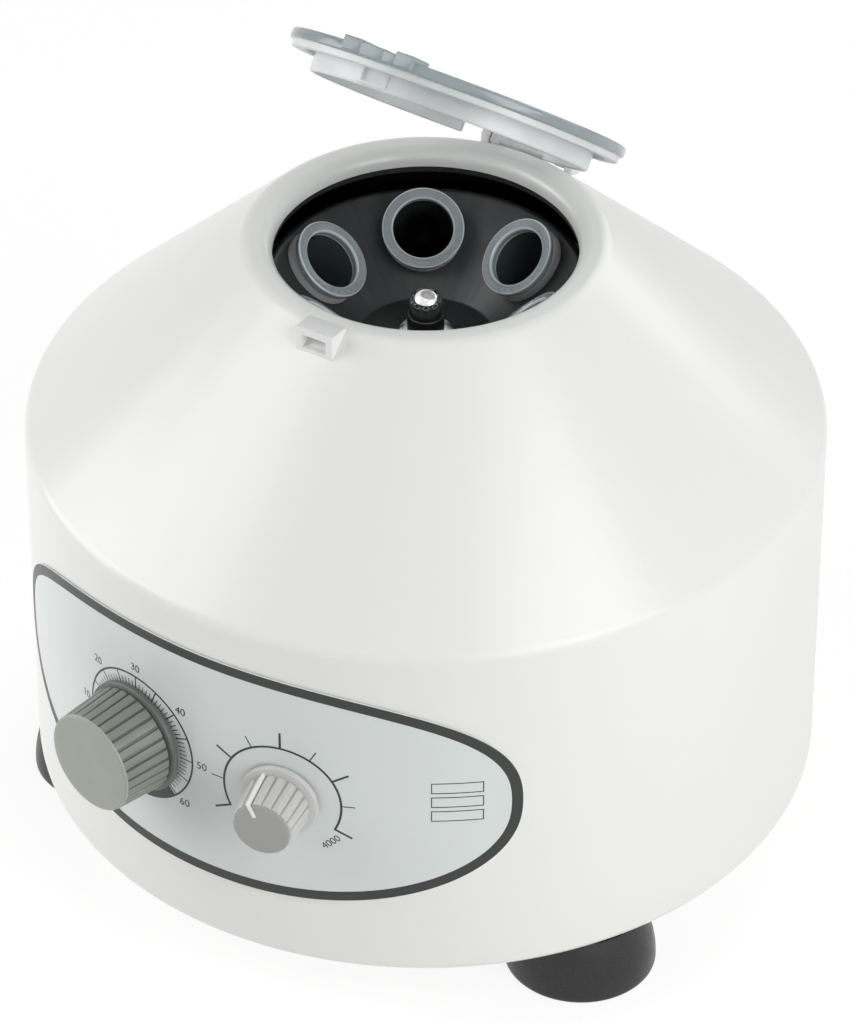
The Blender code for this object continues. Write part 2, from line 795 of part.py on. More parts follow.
def motor_shell(root):
    can_low, can_high = motor_bottom_z + bell_t + gap, motor_top_z - bell_t - gap
    turned_part("motor_can", [(motor_in_r, can_high), (motor_r, can_high), (motor_r, can_low),
                              (motor_in_r, can_low)], steel(), root, 24)
    boss = bearing_r + bell_boss_wall
    top = motor_plate_z + mount_plate_t - gap
    pocket = top - bearing_h - gap
    bell = turned("motor_bell_top", [
        (shaft_r + 0.002, pocket), (bearing_r + gap, pocket), (bearing_r + gap, top), (boss, top),
        (boss, motor_top_z), (motor_r, motor_top_z), (motor_r, motor_top_z - bell_t),
        (shaft_r + 0.002, motor_top_z - bell_t)], alloy(), 24)
    pads = cylinders("bell_pads", [(bell_pad_r, motor_top_z - 0.001, motor_plate_z - gap,
                                    spot(45.0 + 90.0 * k, bell_pad_ring_r)) for k in range(4)],
                     segments=8, cutter=True)
    boolean(bell, place_under(pads, root), "UNION")
    smooth(place(bell, root))
    low_pocket = motor_bottom_z - low_bearing_h - gap
    turned_part("motor_bell_bottom", [
        (shaft_r + 0.0015, motor_bottom_z + bell_t), (motor_r, motor_bottom_z + bell_t),
        (motor_r, motor_bottom_z), (low_bearing_r + bell_boss_wall, motor_bottom_z),
        (low_bearing_r + bell_boss_wall, low_pocket), (low_bearing_r + gap, low_pocket),
        (low_bearing_r + gap, motor_bottom_z), (shaft_r + 0.0015, motor_bottom_z)],
        alloy(), root, 24)
    ring(root, "bearing_upper", shaft_r + gap, bearing_r, pocket + gap, pocket + gap + bearing_h - gap,
         chrome())
    ring(root, "bearing_lower", shaft_r + gap, low_bearing_r, low_pocket + gap, motor_bottom_z - gap,
         chrome())


def turned_part(name, points, mat, root, steps=24):
    """Turned piece; a profile that starts on the axis is left open, since the turn closes it."""
    return smooth(place(turned(name, points, mat, steps, closed=points[0][0] > 0.0), root))


def ring(root, name, r_in, r_out, low, high, mat, steps=16):
    return turned_part(name, [(r_in, high), (r_out, high), (r_out, low), (r_in, low)], mat, root, steps)


def motor_inside(root, spin):
    ring(root, "field_core", core_r_in, motor_in_r - gap, core_z, core_z + core_h, iron(), 16)
    ring(root, "field_coil_upper", core_r_in + 0.002, motor_in_r - 0.003, core_z + core_h + gap,
         core_z + core_h + gap + coil_h, copper(), 16)
    ring(root, "field_coil_lower", core_r_in + 0.002, motor_in_r - 0.003, core_z - gap - coil_h,
         core_z - gap, copper(), 16)
    outer = core_r_in - air_gap
    outline = []
    for k in range(armature_slots):
        for off, r in ((-0.36, outer), (0.36, outer), (0.40, 0.6 * outer), (0.60, 0.6 * outer)):
            a = 2.0 * pi * (k + off) / armature_slots
            outline.append((r * cos(a), r * sin(a)))
    bore = [((shaft_r + gap) * cos(2 * pi * k / 12), (shaft_r + gap) * sin(2 * pi * k / 12))
            for k in range(12)]
    core = plate("armature_core", outline, core_h, iron(), (bore,))
    place(core, spin, (0, 0, core_z + core_h / 2.0))
    low = motor_bottom_z + bell_t + 0.001
    ring(spin, "commutator", shaft_r + gap, commutator_r, low, low + commutator_h, copper(), 16)
    fan_z = core_z + core_h + fan_lift
    fan_top, disc_top = fan_z + fan_h, fan_z + fan_disc_t
    fan = turned("cooling_fan", [(shaft_r + gap, fan_top), (fan_hub_r, fan_top), (fan_hub_r, disc_top),
                                 (fan_r, disc_top), (fan_r, fan_z), (shaft_r + gap, fan_z)],
                 black_plastic(), 16)
    bm = bmesh.new()
    for k in range(fan_blades):
        add_box(bm, (0.0012, fan_r - 0.0072, 0.0055), (0, 0, fan_z + 0.0034),
                spot(360.0 * k / fan_blades, (fan_r + 0.0058) / 2.0))
    blades = mesh_object("fan_blades", bm, cutter=True)
    boolean(fan, place_under(blades, spin), "UNION")
    place(fan, spin)
    for side, name in ((-1.0, "left"), (1.0, "right")):
        brush(root, name, side, low + commutator_h / 2.0)


def brush(root, name, side, z):
    inner = commutator_r + brush_stand_off
    outer = sqrt((motor_in_r * cos(pi / 24.0) - gap) ** 2 - 0.0043 ** 2)
    bm = bmesh.new()
    add_box(bm, (outer - inner, 0.0085, 0.0070), (side * (inner + outer) / 2.0, 0, z))
    holder = mesh_object("brush_holder_" + name, bm, black_plastic())
    bm = bmesh.new()
    add_box(bm, (outer - inner - 0.006, 0.0056, 0.0046), (side * ((inner + outer) / 2.0 - 0.004), 0, z))
    slot = mesh_object("brush_slot_" + name, bm, cutter=True)
    boolean(holder, place_under(slot, root))
    place(holder, root)
    tip, tail = commutator_r + gap, motor_in_r - brush_back
    bm = bmesh.new()
    add_box(bm, (tail - tip, 0.0050, 0.0040), (side * (tip + tail) / 2.0, 0, z))
    place(mesh_object("carbon_brush_" + name, bm, iron()), root)


# Chamber
def chamber(root):
    top = lip_z - collar_depth - gap
    neck_out = chamber_neck_r + chamber_neck_w
    t = cover_t
    drop = t / cos(cone_slope)
    foot_z = top - (chamber_r - neck_out) * tan(cone_slope)
    inner_r = chamber_r - t
    low = bowl_joint_z + gap
    cover = turned("chamber_cover", [
        (chamber_neck_r, top), (neck_out, top), (chamber_r, foot_z), (chamber_r, low + t),
        (chamber_flange_r, low + t), (chamber_flange_r, low), (inner_r, low),
        (inner_r, foot_z + t * tan(cone_slope) - drop),
        (neck_out + (chamber_neck_t - drop) / tan(cone_slope), top - chamber_neck_t),
        (chamber_neck_r, top - chamber_neck_t)], black_plastic(), 40)
    smooth(place(cover, root))
    floor = bowl_floor_z
    bowl = turned("chamber_bowl", rounded([
        (inner_r, bowl_joint_z), (chamber_flange_r, bowl_joint_z), (chamber_flange_r, bowl_joint_z - t),
        (chamber_r, bowl_joint_z - t), (chamber_r, floor, 0.008), (bowl_hole_r, floor),
        (bowl_hole_r, floor + t), (inner_r, floor + t, 0.0065)], 2), black_plastic(), 40)
    bores = cylinders("bowl_bores", [(stud_r + gap, floor - 0.005, floor + 0.01,
                                      spot(120.0 * k, post_ring_r)) for k in range(3)],
                      segments=10, cutter=True)
    boolean(bowl, place_under(bores, root))
    smooth(place(bowl, root))


# Spindle and rotor
def spindle(spin):
    low = motor_bottom_z - low_bearing_h - 2 * gap
    collar_top = hub_bottom_z - gap
    bar = turned("motor_shaft", [
        (0, shaft_top_z), (spindle_r, shaft_top_z), (spindle_r, collar_top),
        (shoulder_collar_r, collar_top), (shoulder_collar_r, collar_top - shoulder_collar_h),
        (shaft_r, collar_top - shoulder_collar_h), (shaft_r, low), (0, low)], steel(), 16, closed=False)
    smooth(place(bar, spin))


def rotor_profile():
    c, s = dish_run
    under = (dish_r_in + dish_t * s, dish_z_in - dish_t * c)
    edge = (ridge_r + dish_t * s, ridge_z - dish_t * c)
    bore = spindle_r + gap
    return rounded([
        (bore, dish_z_in + hub_boss_h), (hub_boss_r, dish_z_in + hub_boss_h),
        (hub_boss_r, dish_z_in), (dish_r_in, dish_z_in), (ridge_r, ridge_z, 0.0016),
        (edge[0], edge[1], 0.0016), (under[0], under[1]),
        (hub_r + 0.004, dish_z_in - 1.4 * dish_t), (hub_r, dish_z_in - 2.6 * dish_t),
        (hub_r, hub_bottom_z), (bore, hub_bottom_z)], 1)


def web_outline():
    """Rib under the dish, between two sockets, from the hub out to the ridge."""
    c, s = dish_run
    half = dish_t * 0.5
    inner = (dish_r_in + half * s, dish_z_in - half * c)
    outer = (ridge_r - 0.001 + half * s, ridge_z - half * c - 0.0008)
    low = hub_bottom_z + 0.004
    return [(0.6 * hub_r, low), (hub_r + 0.001, low), (outer[0] - 0.0005, outer[1] - 0.005), outer,
            inner, (0.6 * hub_r, inner[1])]


def rotor_head(spin):
    """Angle rotor: a dish with six sockets bored square to its conical face.

    The sockets stand out under the dish, ribs between them tie the dish to the hub, and
    a flat seat is faced round each bore for the sleeve's flange.
    """
    head = turned("rotor_head", rotor_profile(), rotor_black(), 42)
    seat = dish_depth()
    frames = [sleeve_frame(k) for k in range(sleeve_count)]
    sockets = cylinders("rotor_sockets", [(socket_r, -socket_len, -seat - 0.4 * dish_t, m)
                                          for m in frames], segments=20, cutter=True)
    boolean(head, place_under(sockets, spin), "UNION")
    for k in range(sleeve_count):
        web = plate("rotor_web_%d" % (k + 1), web_outline(), web_t, cutter=True)
        turn = Matrix.Rotation(radians(rotor_turn + 360.0 * (k + 0.5) / sleeve_count), 4, "Z")
        set_matrix(web, spin, turn @ Matrix.Rotation(pi / 2.0, 4, "X"))
        boolean(head, web, "UNION")
    bores = cylinders("socket_bores", [(sleeve_out_r + gap, -socket_len - 0.01, 0.01, m)
                                       for m in frames], segments=20, cutter=True)
    seats = cylinders("socket_seats", [(sleeve_flange_r + 0.0005, -seat, 0.012, m)
                                       for m in frames], segments=20, cutter=True)
    boolean(head, place_under(bores, spin))
    boolean(head, place_under(seats, spin))
    return smooth(place(head, spin))


def sleeve_profile():
    """Tube with a thick flange at its mouth and a round bottom, from axis to axis."""
    ri, ro = sleeve_bore_r, sleeve_out_r
    straight = -(sleeve_len - ro)
    inside = [(ri * sin(radians(a)), straight - ri * cos(radians(a))) for a in range(0, 90, 45)]
    outside = [(ro * cos(radians(a)), straight - ro * sin(radians(a))) for a in range(45, 91, 45)]
    outside[-1] = (0.0, outside[-1][1])
    mouth = [(ri, straight), (ri, 0.0), (sleeve_flange_r - 0.0006, 0.0),
             (sleeve_flange_r, -0.0006), (sleeve_flange_r, -sleeve_flange_h),
             (ro, -sleeve_flange_h), (ro, straight)]
    return inside + mouth + outside


def sleeves(spin):
    for k in range(sleeve_count):
        carrier = set_matrix(empty("sleeve_axis_%d" % (k + 1)), spin, sleeve_frame(k))
        tube = turned("tube_sleeve_%d" % (k + 1), sleeve_profile(), sleeve_plastic(), 18, closed=False)
        smooth(place(tube, carrier))


def rotor_fixings(spin):
    z = dish_z_in + hub_boss_h + gap
    ring(spin, "rotor_washer", spindle_r + gap, washer_r, z, z + washer_t, chrome(), 20)
    z += washer_t + gap
    ring(spin, "clamp_collar", spindle_r + gap, clamp_r, z, z + clamp_h, black_plastic(), 16)
    z += clamp_h + gap
    dome = [(dome_r * cos(radians(a)), z + nut_h + dome_r * sin(radians(a)))
            for a in range(90, -1, -30)]
    dome[0] = (0.0, dome[0][1])
    bore_top = shaft_top_z + gap
    shape = dome + [(dome_r, z), (spindle_r + gap, z), (spindle_r + gap, bore_top), (0.0, bore_top)]
    nut = turned("dome_nut", shape, chrome(), 18, closed=False)
    bm = bmesh.new()
    ring_prism(bm, spindle_r + 0.0008, nut_r, z, z + nut_h, Matrix.Identity(4), 6)
    hexagon = mesh_object("nut_hexagon", bm, cutter=True)
    boolean(nut, place_under(hexagon, spin), "UNION")
    smooth(place(nut, spin))


# Lid
def lid_profile():
    top = lid_top_z()
    under = top - lid_flange_t
    land_in = lid_land_r - lid_land_w
    skirt_low = under - lid_skirt_h
    return [(0, top)] + rounded([
        (0.010, top), (lid_r, top, 0.0012), (lid_r, under), (lid_land_r, under),
        (lid_land_r, under - lid_land_t), (land_in, under - lid_land_t), (land_in, under),
        (lid_skirt_r, under), (lid_skirt_r, skirt_low, 0.0009),
        (lid_skirt_r - lid_skirt_t, skirt_low), (lid_skirt_r - lid_skirt_t, top - lid_top_t),
        (0.010, top - lid_top_t)], 2) + [(0, top - lid_top_t)]


def lid_top_z():
    """Top of the closed lid, counted from the hinge's axis."""
    return lip_z + gap + lid_land_t + lid_flange_t - hinge_z


def ear_outline():
    """Side view of a hinge ear: eye round the pin, arm up and forwards to the flange."""
    top = lid_top_z()
    under = top - lid_flange_t
    front = -(hinge_r - lid_r + 0.0024)
    eye = [(hinge_eye_r * cos(radians(a)), hinge_eye_r * sin(radians(a)))
           for a in range(215, 381, 33)]
    return eye + [(hinge_eye_r, 0.6 * under), (hinge_eye_r - 0.0012, top - 0.0008), (front, top - 0.0004),
                  (front, under + 0.0006), (front + 0.0042, under - 0.0004),
                  (-0.62 * hinge_eye_r, 0.70 * hinge_eye_r)]


def lid(root):
    carrier = empty("lid_hinge_axis", root, (0, hinge_r, hinge_z), (-radians(axle_open_deg), 0, 0))
    cover = turned("lid", lid_profile(), clear_plastic(), 40, closed=False)
    place(cover, carrier, (0, -hinge_r, 0))
    for side, name in ((-1.0, "ear_left"), (1.0, "ear_right")):
        ear = plate(name, ear_outline(), ear_w, cutter=True)
        place(ear, carrier, (side * ear_mid, 0, 0), (pi / 2.0, 0, pi / 2.0))
        boolean(cover, ear, "UNION")
    bm = bmesh.new()
    tab_y = -hinge_r - lid_r + tab_len / 2.0 - 0.0004
    add_box(bm, (tab_w, tab_len, lid_flange_t + tab_h - 0.0006),
            (0, tab_y, lid_top_z() - (lid_flange_t - tab_h - 0.0006) / 2.0))
    tab = mesh_object("lid_tab", bm, cutter=True)
    boolean(cover, place_under(tab, carrier), "UNION")
    across = Matrix.Rotation(pi / 2.0, 4, "Y")
    reach = 2.0 * (ear_mid + ear_w)
    bore = cylinders("ear_bore", [(hinge_pin_r + gap, -reach, reach, across)], segments=12, cutter=True)
    boolean(cover, place_under(bore, carrier))
    smooth(cover)
    half = ear_mid + ear_w / 2.0 + 0.0004 + lug_w + 0.0008
    bm = bmesh.new()
    add_cylinder(bm, hinge_pin_r, -half, half, 12, matrix=across)
    smooth(place(mesh_object("hinge_pin", bm, steel()), root, (0, hinge_r, hinge_z)))


# Controls
def knob(name, carrier, radius, face_r, flange_r, length, grooves, groove, mat):
    """Fluted knob on its shaft: flange, tapered grip with cut grooves, flat face."""
    bore = control_shaft_r + gap
    recess_r = control_nut_r + 0.0014
    nut_top = control_nut_h + 0.0008
    points = rounded([
        (0, length), (face_r, length, 0.0009), (radius, 0.0026), (flange_r, 0.0019),
        (flange_r, 0.0), (recess_r, 0.0), (recess_r, nut_top), (bore, nut_top),
        (bore, length - 0.004), (0, length - 0.004)], 2)
    ob = turned(name, points, mat, 30, closed=False)
    bm = bmesh.new()
    lean = atan2(radius - face_r, length - 0.0026)
    for k in range(grooves):
        turn = Matrix.Rotation(2.0 * pi * (k + 0.5) / grooves, 4, "Z")
        place_it = turn @ Matrix.Translation((radius, 0, 0.0026)) @ Matrix.Rotation(-lean, 4, "Y")
        add_box(bm, (2 * groove[1], groove[0], length - 0.0058), (0, 0, length / 2.0 - 0.0010), place_it)
    cuts = mesh_object(name + "_grooves", bm, cutter=True)
    place(cuts, carrier)
    boolean(ob, cuts)
    return smooth(place(ob, carrier))


def control(root, name, angle, z, knob_args, body):
    """Shaft, nut, body and knob on one radial axis; the carrier turns knob and shaft."""
    carrier = set_matrix(empty(name + "_axis"), root, radial(angle, z, knob_back))
    length = knob_args[3]
    knob(name + "_knob", carrier, *knob_args)
    front = -(knob_back - hypot_in(body[0]))
    shaft_low = front - 0.004
    turned_part(name + "_shaft", [(0, length - 0.0045), (control_shaft_r, length - 0.0045),
                                  (control_shaft_r, shaft_low), (0, shaft_low)], steel(), carrier, 12)
    fixed = set_matrix(empty(name + "_seat"), root, radial(angle, z, knob_back))
    nut_low = -(knob_back - panel_out_r) + gap
    bm = bmesh.new()
    ring_prism(bm, bush_r + gap + 0.0005, control_nut_r, nut_low, nut_low + control_nut_h,
               Matrix.Identity(4), 6)
    place(mesh_object(name + "_nut", bm, chrome()), fixed)
    return fixed, front, nut_low + control_nut_h


def hypot_in(half_width):
    """Distance from the rotor's axis at which a flat front of this half width clears the wall."""
    return sqrt((wall_in_r - gap) ** 2 - half_width ** 2) - gap


def drilled_body(name, base, fixed, front, tip, mat):
    """Join the threaded bush to a control's body and bore it for the shaft."""
    bush = cylinders(name + "_bush", [(bush_r, front - 0.001, tip, None)], segments=16, cutter=True)
    bore = cylinders(name + "_bore", [(control_shaft_r + gap, front - 0.0045, tip + 0.01, None)],
                     segments=12, cutter=True)
    boolean(base, place_under(bush, fixed), "UNION")
    boolean(base, place_under(bore, fixed))
    base.data.materials.clear()
    base.data.materials.append(mat)
    return smooth(place(base, fixed))


def controls(root):
    args = (timer_knob_r, timer_face_r, timer_flange_r, timer_knob_len, timer_grooves,
            (0.0011, 0.0008), grey_knob())
    fixed, front, tip = control(root, "timer", timer_angle, timer_z, args, (timer_box / 2.0,))
    bm = bmesh.new()
    add_box(bm, (timer_box, timer_box, timer_depth), (0, 0, front - timer_depth / 2.0))
    drilled_body("timer_body", mesh_object("timer_body", bm), fixed, front, tip, alloy())
    args = (speed_knob_r, speed_face_r, speed_flange_r, speed_knob_len, speed_grooves,
            (0.0012, 0.0008), pale_knob())
    fixed, front, tip = control(root, "speed", speed_angle, speed_z, args, (speed_body_r,))
    bm = bmesh.new()
    add_cylinder(bm, speed_body_r, front - speed_depth, front, 20)
    drilled_body("speed_body", mesh_object("speed_body", bm), fixed, front, tip, steel())


# Rear fittings and the control board
def rear_fittings(root):
    neck = gland_r - 0.002
    wall_near, wall_far = wall_in_r - gap - 0.0006, body_r + gap
    gland = turned("cord_gland", rounded([
        (gland_bore_r, wall_near - 0.004), (gland_r, wall_near - 0.004), (gland_r, wall_near - 0.0005),
        (neck, wall_near - 0.0005), (neck, wall_far + 0.0005), (gland_r, wall_far + 0.0005, 0.0006),
        (gland_r, wall_far + 0.003, 0.0006), (neck - 0.0006, wall_far + 0.003),
        (gland_bore_r + gland_tip_wall, body_r + gland_len, 0.0005), (gland_bore_r, body_r + gland_len)], 1),
        black_rubber(), 16)
    smooth(set_matrix(gland, root, radial(gland_angle, rear_z)))
    shape = rounded([
        (0, body_r + fuse_cap_len), (fuse_cap_r - 0.0008, body_r + fuse_cap_len, 0.0008),
        (fuse_cap_r, wall_far + 0.0005), (fuse_r, wall_far + 0.0005), (fuse_r, body_r - fuse_len),
        (0, body_r - fuse_len)], 2)
    fuse = turned("fuse_holder", shape, black_plastic(), 18, closed=False)
    set_matrix(fuse, root, radial(fuse_angle, rear_z))
    bm = bmesh.new()
    add_box(bm, (2 * fuse_cap_r, 0.0016, 0.003), (0, 0, body_r + fuse_cap_len))
    slot = mesh_object("fuse_slot", bm, cutter=True)
    set_matrix(slot, root, radial(fuse_angle, rear_z))
    boolean(fuse, slot)
    smooth(fuse)


def board(root):
    seat = set_matrix(empty("board_seat"), root, spot(board_angle, board_ring_r, plate_t + board_stand_off))
    length, width, thick = board_size
    bm = bmesh.new()
    add_box(bm, board_size, (0, 0, gap + thick / 2.0))
    place(mesh_object("control_board", bm, board_green()), seat)
    low = thick + 2 * gap
    pitch = sink_w / (2 * sink_fins - 1)
    fin = [(-sink_w / 2.0, 0.0)]
    for k in range(sink_fins):
        x = -sink_w / 2.0 + 2.0 * pitch * k
        fin += [(x, sink_h), (x + pitch, sink_h)]
        if k < sink_fins - 1:
            fin += [(x + pitch, sink_base), (x + 2.0 * pitch, sink_base)]
    fin += [(sink_w / 2.0, 0.0)]
    sink = plate("board_heatsink", fin, sink_len, alloy())
    place(sink, seat, (-0.010, 0, low), (pi / 2.0, 0, 0))
    bm = bmesh.new()
    add_cylinder(bm, capacitor_r, low, low + capacitor_h, 16, matrix=Matrix.Translation((0.013, 0, 0)))
    smooth(place(mesh_object("board_capacitor", bm, black_plastic()), seat))


def main():
    clear_scene()
    collection("bench_centrifuge")
    collection("cutters")
    root = empty("body_axis", None, (0.0, axis_y, foot_h))
    spin = empty("rotor_axis", root)
    housing(root)
    panel(root)
    base_plate(root)
    feet(root)
    motor_stand(root)
    mount_plate(root)
    motor_shell(root)
    motor_inside(root, spin)
    chamber(root)
    spindle(spin)
    rotor_head(spin)
    sleeves(spin)
    rotor_fixings(spin)
    lid(root)
    controls(root)
    rear_fittings(root)
    board(root)


main()
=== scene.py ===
"""Looks of a bench butterfat centrifuge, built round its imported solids.

Everything is in metres, in the frame of the solids: +Z up, the front with the panel
towards -Y. Shapes are first made in the housing's own frame, which stands on the rotor's
axis with z = 0 at the housing's lower edge, and are then settled into the shared frame.
Angles on the wall are counted in degrees from the front, positive to the right.
"""

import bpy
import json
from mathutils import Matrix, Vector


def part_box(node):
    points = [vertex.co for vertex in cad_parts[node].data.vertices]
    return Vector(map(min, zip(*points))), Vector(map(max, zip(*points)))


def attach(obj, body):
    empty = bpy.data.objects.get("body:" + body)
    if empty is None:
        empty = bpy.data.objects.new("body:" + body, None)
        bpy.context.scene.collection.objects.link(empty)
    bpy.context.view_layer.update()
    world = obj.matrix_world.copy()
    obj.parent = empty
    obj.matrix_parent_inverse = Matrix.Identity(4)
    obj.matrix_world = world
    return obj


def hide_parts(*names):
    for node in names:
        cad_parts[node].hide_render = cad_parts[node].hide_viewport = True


bl_info = {
    "name": "Butterfat centrifuge looks",
    "version": (1, 0, 0),
    "blender": (4, 5, 0),
    "location": "3D View > Sidebar > Centrifuge",
    "description": "Dresses the packed solids of a bench butterfat centrifuge with detailed, finished pieces",
    "category": "Object",
}

import json
from math import atan2, cos, pi, radians, sin, sqrt, tan

import bmesh
import bpy
from bpy.props import FloatProperty, FloatVectorProperty, IntProperty, PointerProperty
from mathutils import Matrix, Vector

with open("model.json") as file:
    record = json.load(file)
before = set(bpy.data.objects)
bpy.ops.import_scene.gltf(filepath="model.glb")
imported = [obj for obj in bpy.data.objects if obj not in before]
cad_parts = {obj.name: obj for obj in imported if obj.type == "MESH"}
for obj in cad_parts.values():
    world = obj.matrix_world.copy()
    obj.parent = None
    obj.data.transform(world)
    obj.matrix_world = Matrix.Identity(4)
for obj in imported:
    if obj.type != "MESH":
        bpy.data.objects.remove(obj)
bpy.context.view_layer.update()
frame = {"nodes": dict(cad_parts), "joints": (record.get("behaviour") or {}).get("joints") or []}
joints = {joint["name"]: joint for joint in frame["joints"]}
axis_y = joints["rotor_spin"]["pos_m"][1]
lower_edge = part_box("base_plate")[0].z
hinge_at = Vector(joints["lid_hinge"]["pos_m"])
HOME = Matrix.Translation((0.0, axis_y, lower_edge))
GAP = 0.0003                       # clearance between two pieces
WELD = 0.000002                    # points nearer than this are one
PIN_BORE = 0.0014                  # for the hinge pin
BORE_HALF = 0.03                   # half of a hinge cutter's length, past both lugs
SPINDLE_BORE = 0.0033              # of what sits on the rotor's spindle
CONTROL_BORE = 0.0040              # in wall and film, for a control's bush
LID_OPEN = radians(40.0)           # the lid's turn from closed, as the photograph shows it
GLAND_ANGLE = radians(160.0)
GLAND_BORE = 0.0068
FUSE_ANGLE = radians(200.0)
FUSE_BORE = 0.0065
REAR_HEIGHT = 0.026                # of the gland's and the fuse holder's axes
STUD_RING = 0.079                  # radius at which the stand's studs pass the bowl


# Properties
def length(name, description, default):
    return FloatProperty(name=name, description=description, default=default, unit="LENGTH", precision=4)


def angle(name, description, degrees):
    return FloatProperty(name=name, description=description, default=radians(degrees), unit="ROTATION")


def colour(name, description, default):
    return FloatVectorProperty(name=name, description=description, default=default, subtype="COLOR",
                               size=3, min=0.0, max=1.0)


def count(name, description, default):
    return IntProperty(name=name, description=description, default=default, min=3)


class HousingSizes(bpy.types.PropertyGroup):
    wall_radius: length("Wall radius", "Outer radius of the straight wall", 0.130)
    shoulder_height: length("Shoulder height", "Height of the edge between wall and cone", 0.1276)
    lip_height: length("Lip height", "Height of the lip above the lower edge", 0.1958)
    mouth_radius: length("Mouth radius", "Radius of the opening", 0.0488)
    lip_corner: length("Lip corner", "Radius where the flat lip would meet the cone", 0.0577)
    lip_round: length("Lip rounding", "Fillet between lip and cone", 0.006)
    lip_roll: length("Lip roll", "Rounding of the mouth's edge", 0.0045)
    shoulder_round: length("Shoulder rounding", "Fillet between cone and wall", 0.006)
    skirt_round: length("Lower rounding", "Fillet at the lower edge", 0.0078)
    wall: length("Wall thickness", "Thickness of the moulding", 0.003)
    collar_depth: length("Collar depth", "Depth of the collar inside the mouth", 0.0062)
    catch_width: length("Catch width", "Width of the catch for the lid", 0.0135)
    catch_reach: length("Catch reach", "Distance of the catch's front from the rotor's axis", 0.065)
    steps: count("Steps", "Faces round the housing", 240)


class PanelSizes(bpy.types.PropertyGroup):
    half_width: length("Half width", "Half of the film's width along the wall", 0.1038)
    half_height: length("Half height", "Half of the film's height", 0.044)
    middle: length("Middle height", "Height of the film's middle", 0.070)
    power: FloatProperty(name="Roundness", description="Power of the outline, 2 is an ellipse", default=2.35)
    film: length("Film thickness", "Thickness of the printed film", 0.0005)
    border: length("Border width", "Width of the printed border", 0.0036)
    timer_angle: angle("Timer angle", "Timer's place on the wall", -12.0)
    timer_height: length("Timer height", "Height of the timer's axis", 0.069)
    speed_angle: angle("Speed angle", "Speed control's place on the wall", 12.0)
    speed_height: length("Speed height", "Height of the speed control's axis", 0.067)
    timer_ring: length("Timer ring", "Radius of the ring round the timer's scale", 0.0230)
    numbers_ring: length("Number ring", "Radius at which the timer's numbers stand", 0.0265)
    speed_ring: length("Speed ring", "Radius of the speed control's scale", 0.0197)


class LidSizes(bpy.types.PropertyGroup):
    radius: length("Radius", "Radius of the lid's flange", 0.0558)
    flange: length("Flange thickness", "Thickness of the flange", 0.0036)
    top: length("Top thickness", "Thickness of the lid's top", 0.0023)
    skirt_radius: length("Skirt radius", "Outer radius of the skirt", 0.0465)
    skirt_wall: length("Skirt wall", "Thickness of the skirt", 0.002)
    skirt_depth: length("Skirt depth", "Depth of the skirt below the flange", 0.0078)
    land_radius: length("Land radius", "Outer radius of the land that rests on the lip", 0.0545)
    land_width: length("Land width", "Width of the land", 0.0045)
    land_height: length("Land height", "Height of the land below the flange", 0.0022)
    notch: length("Notch", "Half width of the skirt's notch behind, for the hinge", 0.0157)
    ear_middle: length("Ear place", "Distance of each ear's middle from the centre line", 0.0122)
    ear_width: length("Ear width", "Width of each ear", 0.0036)
    eye_radius: length("Eye radius", "Radius of the hinge eyes", 0.0024)
    bar_radius: length("Bar radius", "Radius of the bar between the ears", 0.0021)
    tab_width: length("Tab width", "Width over the raised blocks at the front", 0.026)
    tab_turn: angle("Tab turn", "Turn of the latch tab from the lid's front", -3.0)
    steps: count("Steps", "Faces round the lid", 160)


class KnobSizes(bpy.types.PropertyGroup):
    timer_radius: length("Timer grip", "Radius of the timer's grip at the wall", 0.0180)
    timer_face: length("Timer face", "Radius of the timer's face", 0.0169)
    timer_flange: length("Timer flange", "Radius of the timer's flange", 0.0193)
    timer_length: length("Timer length", "Length of the timer's knob", 0.0204)
    timer_ribs: count("Timer ribs", "Ribs round the timer's grip", 30)
    speed_radius: length("Speed grip", "Radius of the speed knob's grip at the wall", 0.0107)
    speed_face: length("Speed face", "Radius of the speed knob's face", 0.0098)
    speed_flange: length("Speed flange", "Radius of the speed knob's flange", 0.0130)
    speed_length: length("Speed length", "Length of the speed knob", 0.0165)
    speed_ribs: count("Speed ribs", "Ribs round the speed knob", 18)
    pointer: angle("Pointer", "Where the speed knob's line points, from the top", -25.0)


class RotorSizes(bpy.types.PropertyGroup):
    dish_inner: length("Dish inner radius", "Radius of the rotor's flat middle", 0.0226)
    dish_height: length("Dish height", "Height of the rotor's flat middle", 0.156)
    dish_slope: angle("Dish slope", "Slope of the dish", 42.4)
    ridge: length("Ridge radius", "Outer radius of the dish", 0.050)
    dish_wall: length("Dish wall", "Thickness of the dish", 0.005)
    rest_turn: angle("Rest angle", "Turn of the rotor at rest", 3.7)
    rim_radius: length("Rim place", "Distance of a sleeve's rim from the rotor's axis", 0.0339)
    rim_height: length("Rim height", "Height of a sleeve's rim", 0.1759)
    flange_radius: length("Flange radius", "Radius of a sleeve's flange", 0.0134)
    flange_height: length("Flange height", "Height of a sleeve's flange", 0.0024)
    bore: length("Bore radius", "Radius of a sleeve's bore", 0.0098)
    sleeve_wall: length("Sleeve wall", "Thickness of a sleeve's wall", 0.0011)
    sleeve_length: length("Sleeve length", "Length of a sleeve", 0.0921)
    seat_radius: length("Seat radius", "Radius of the boss under a sleeve's flange", 0.0130)
    sleeves: count("Sleeves", "Sleeves round the rotor", 6)


class FootSizes(bpy.types.PropertyGroup):
    height: length("Height", "Height of the feet", 0.022)
    ring: length("Ring radius", "Distance of the feet from the rotor's axis", 0.108)
    spread: angle("Spread", "Angle of the front feet from the front", 60.0)
    lower_radius: length("Lower radius", "Radius of a foot on the bench", 0.0248)
    upper_radius: length("Upper radius", "Radius of a foot under the base plate", 0.0202)


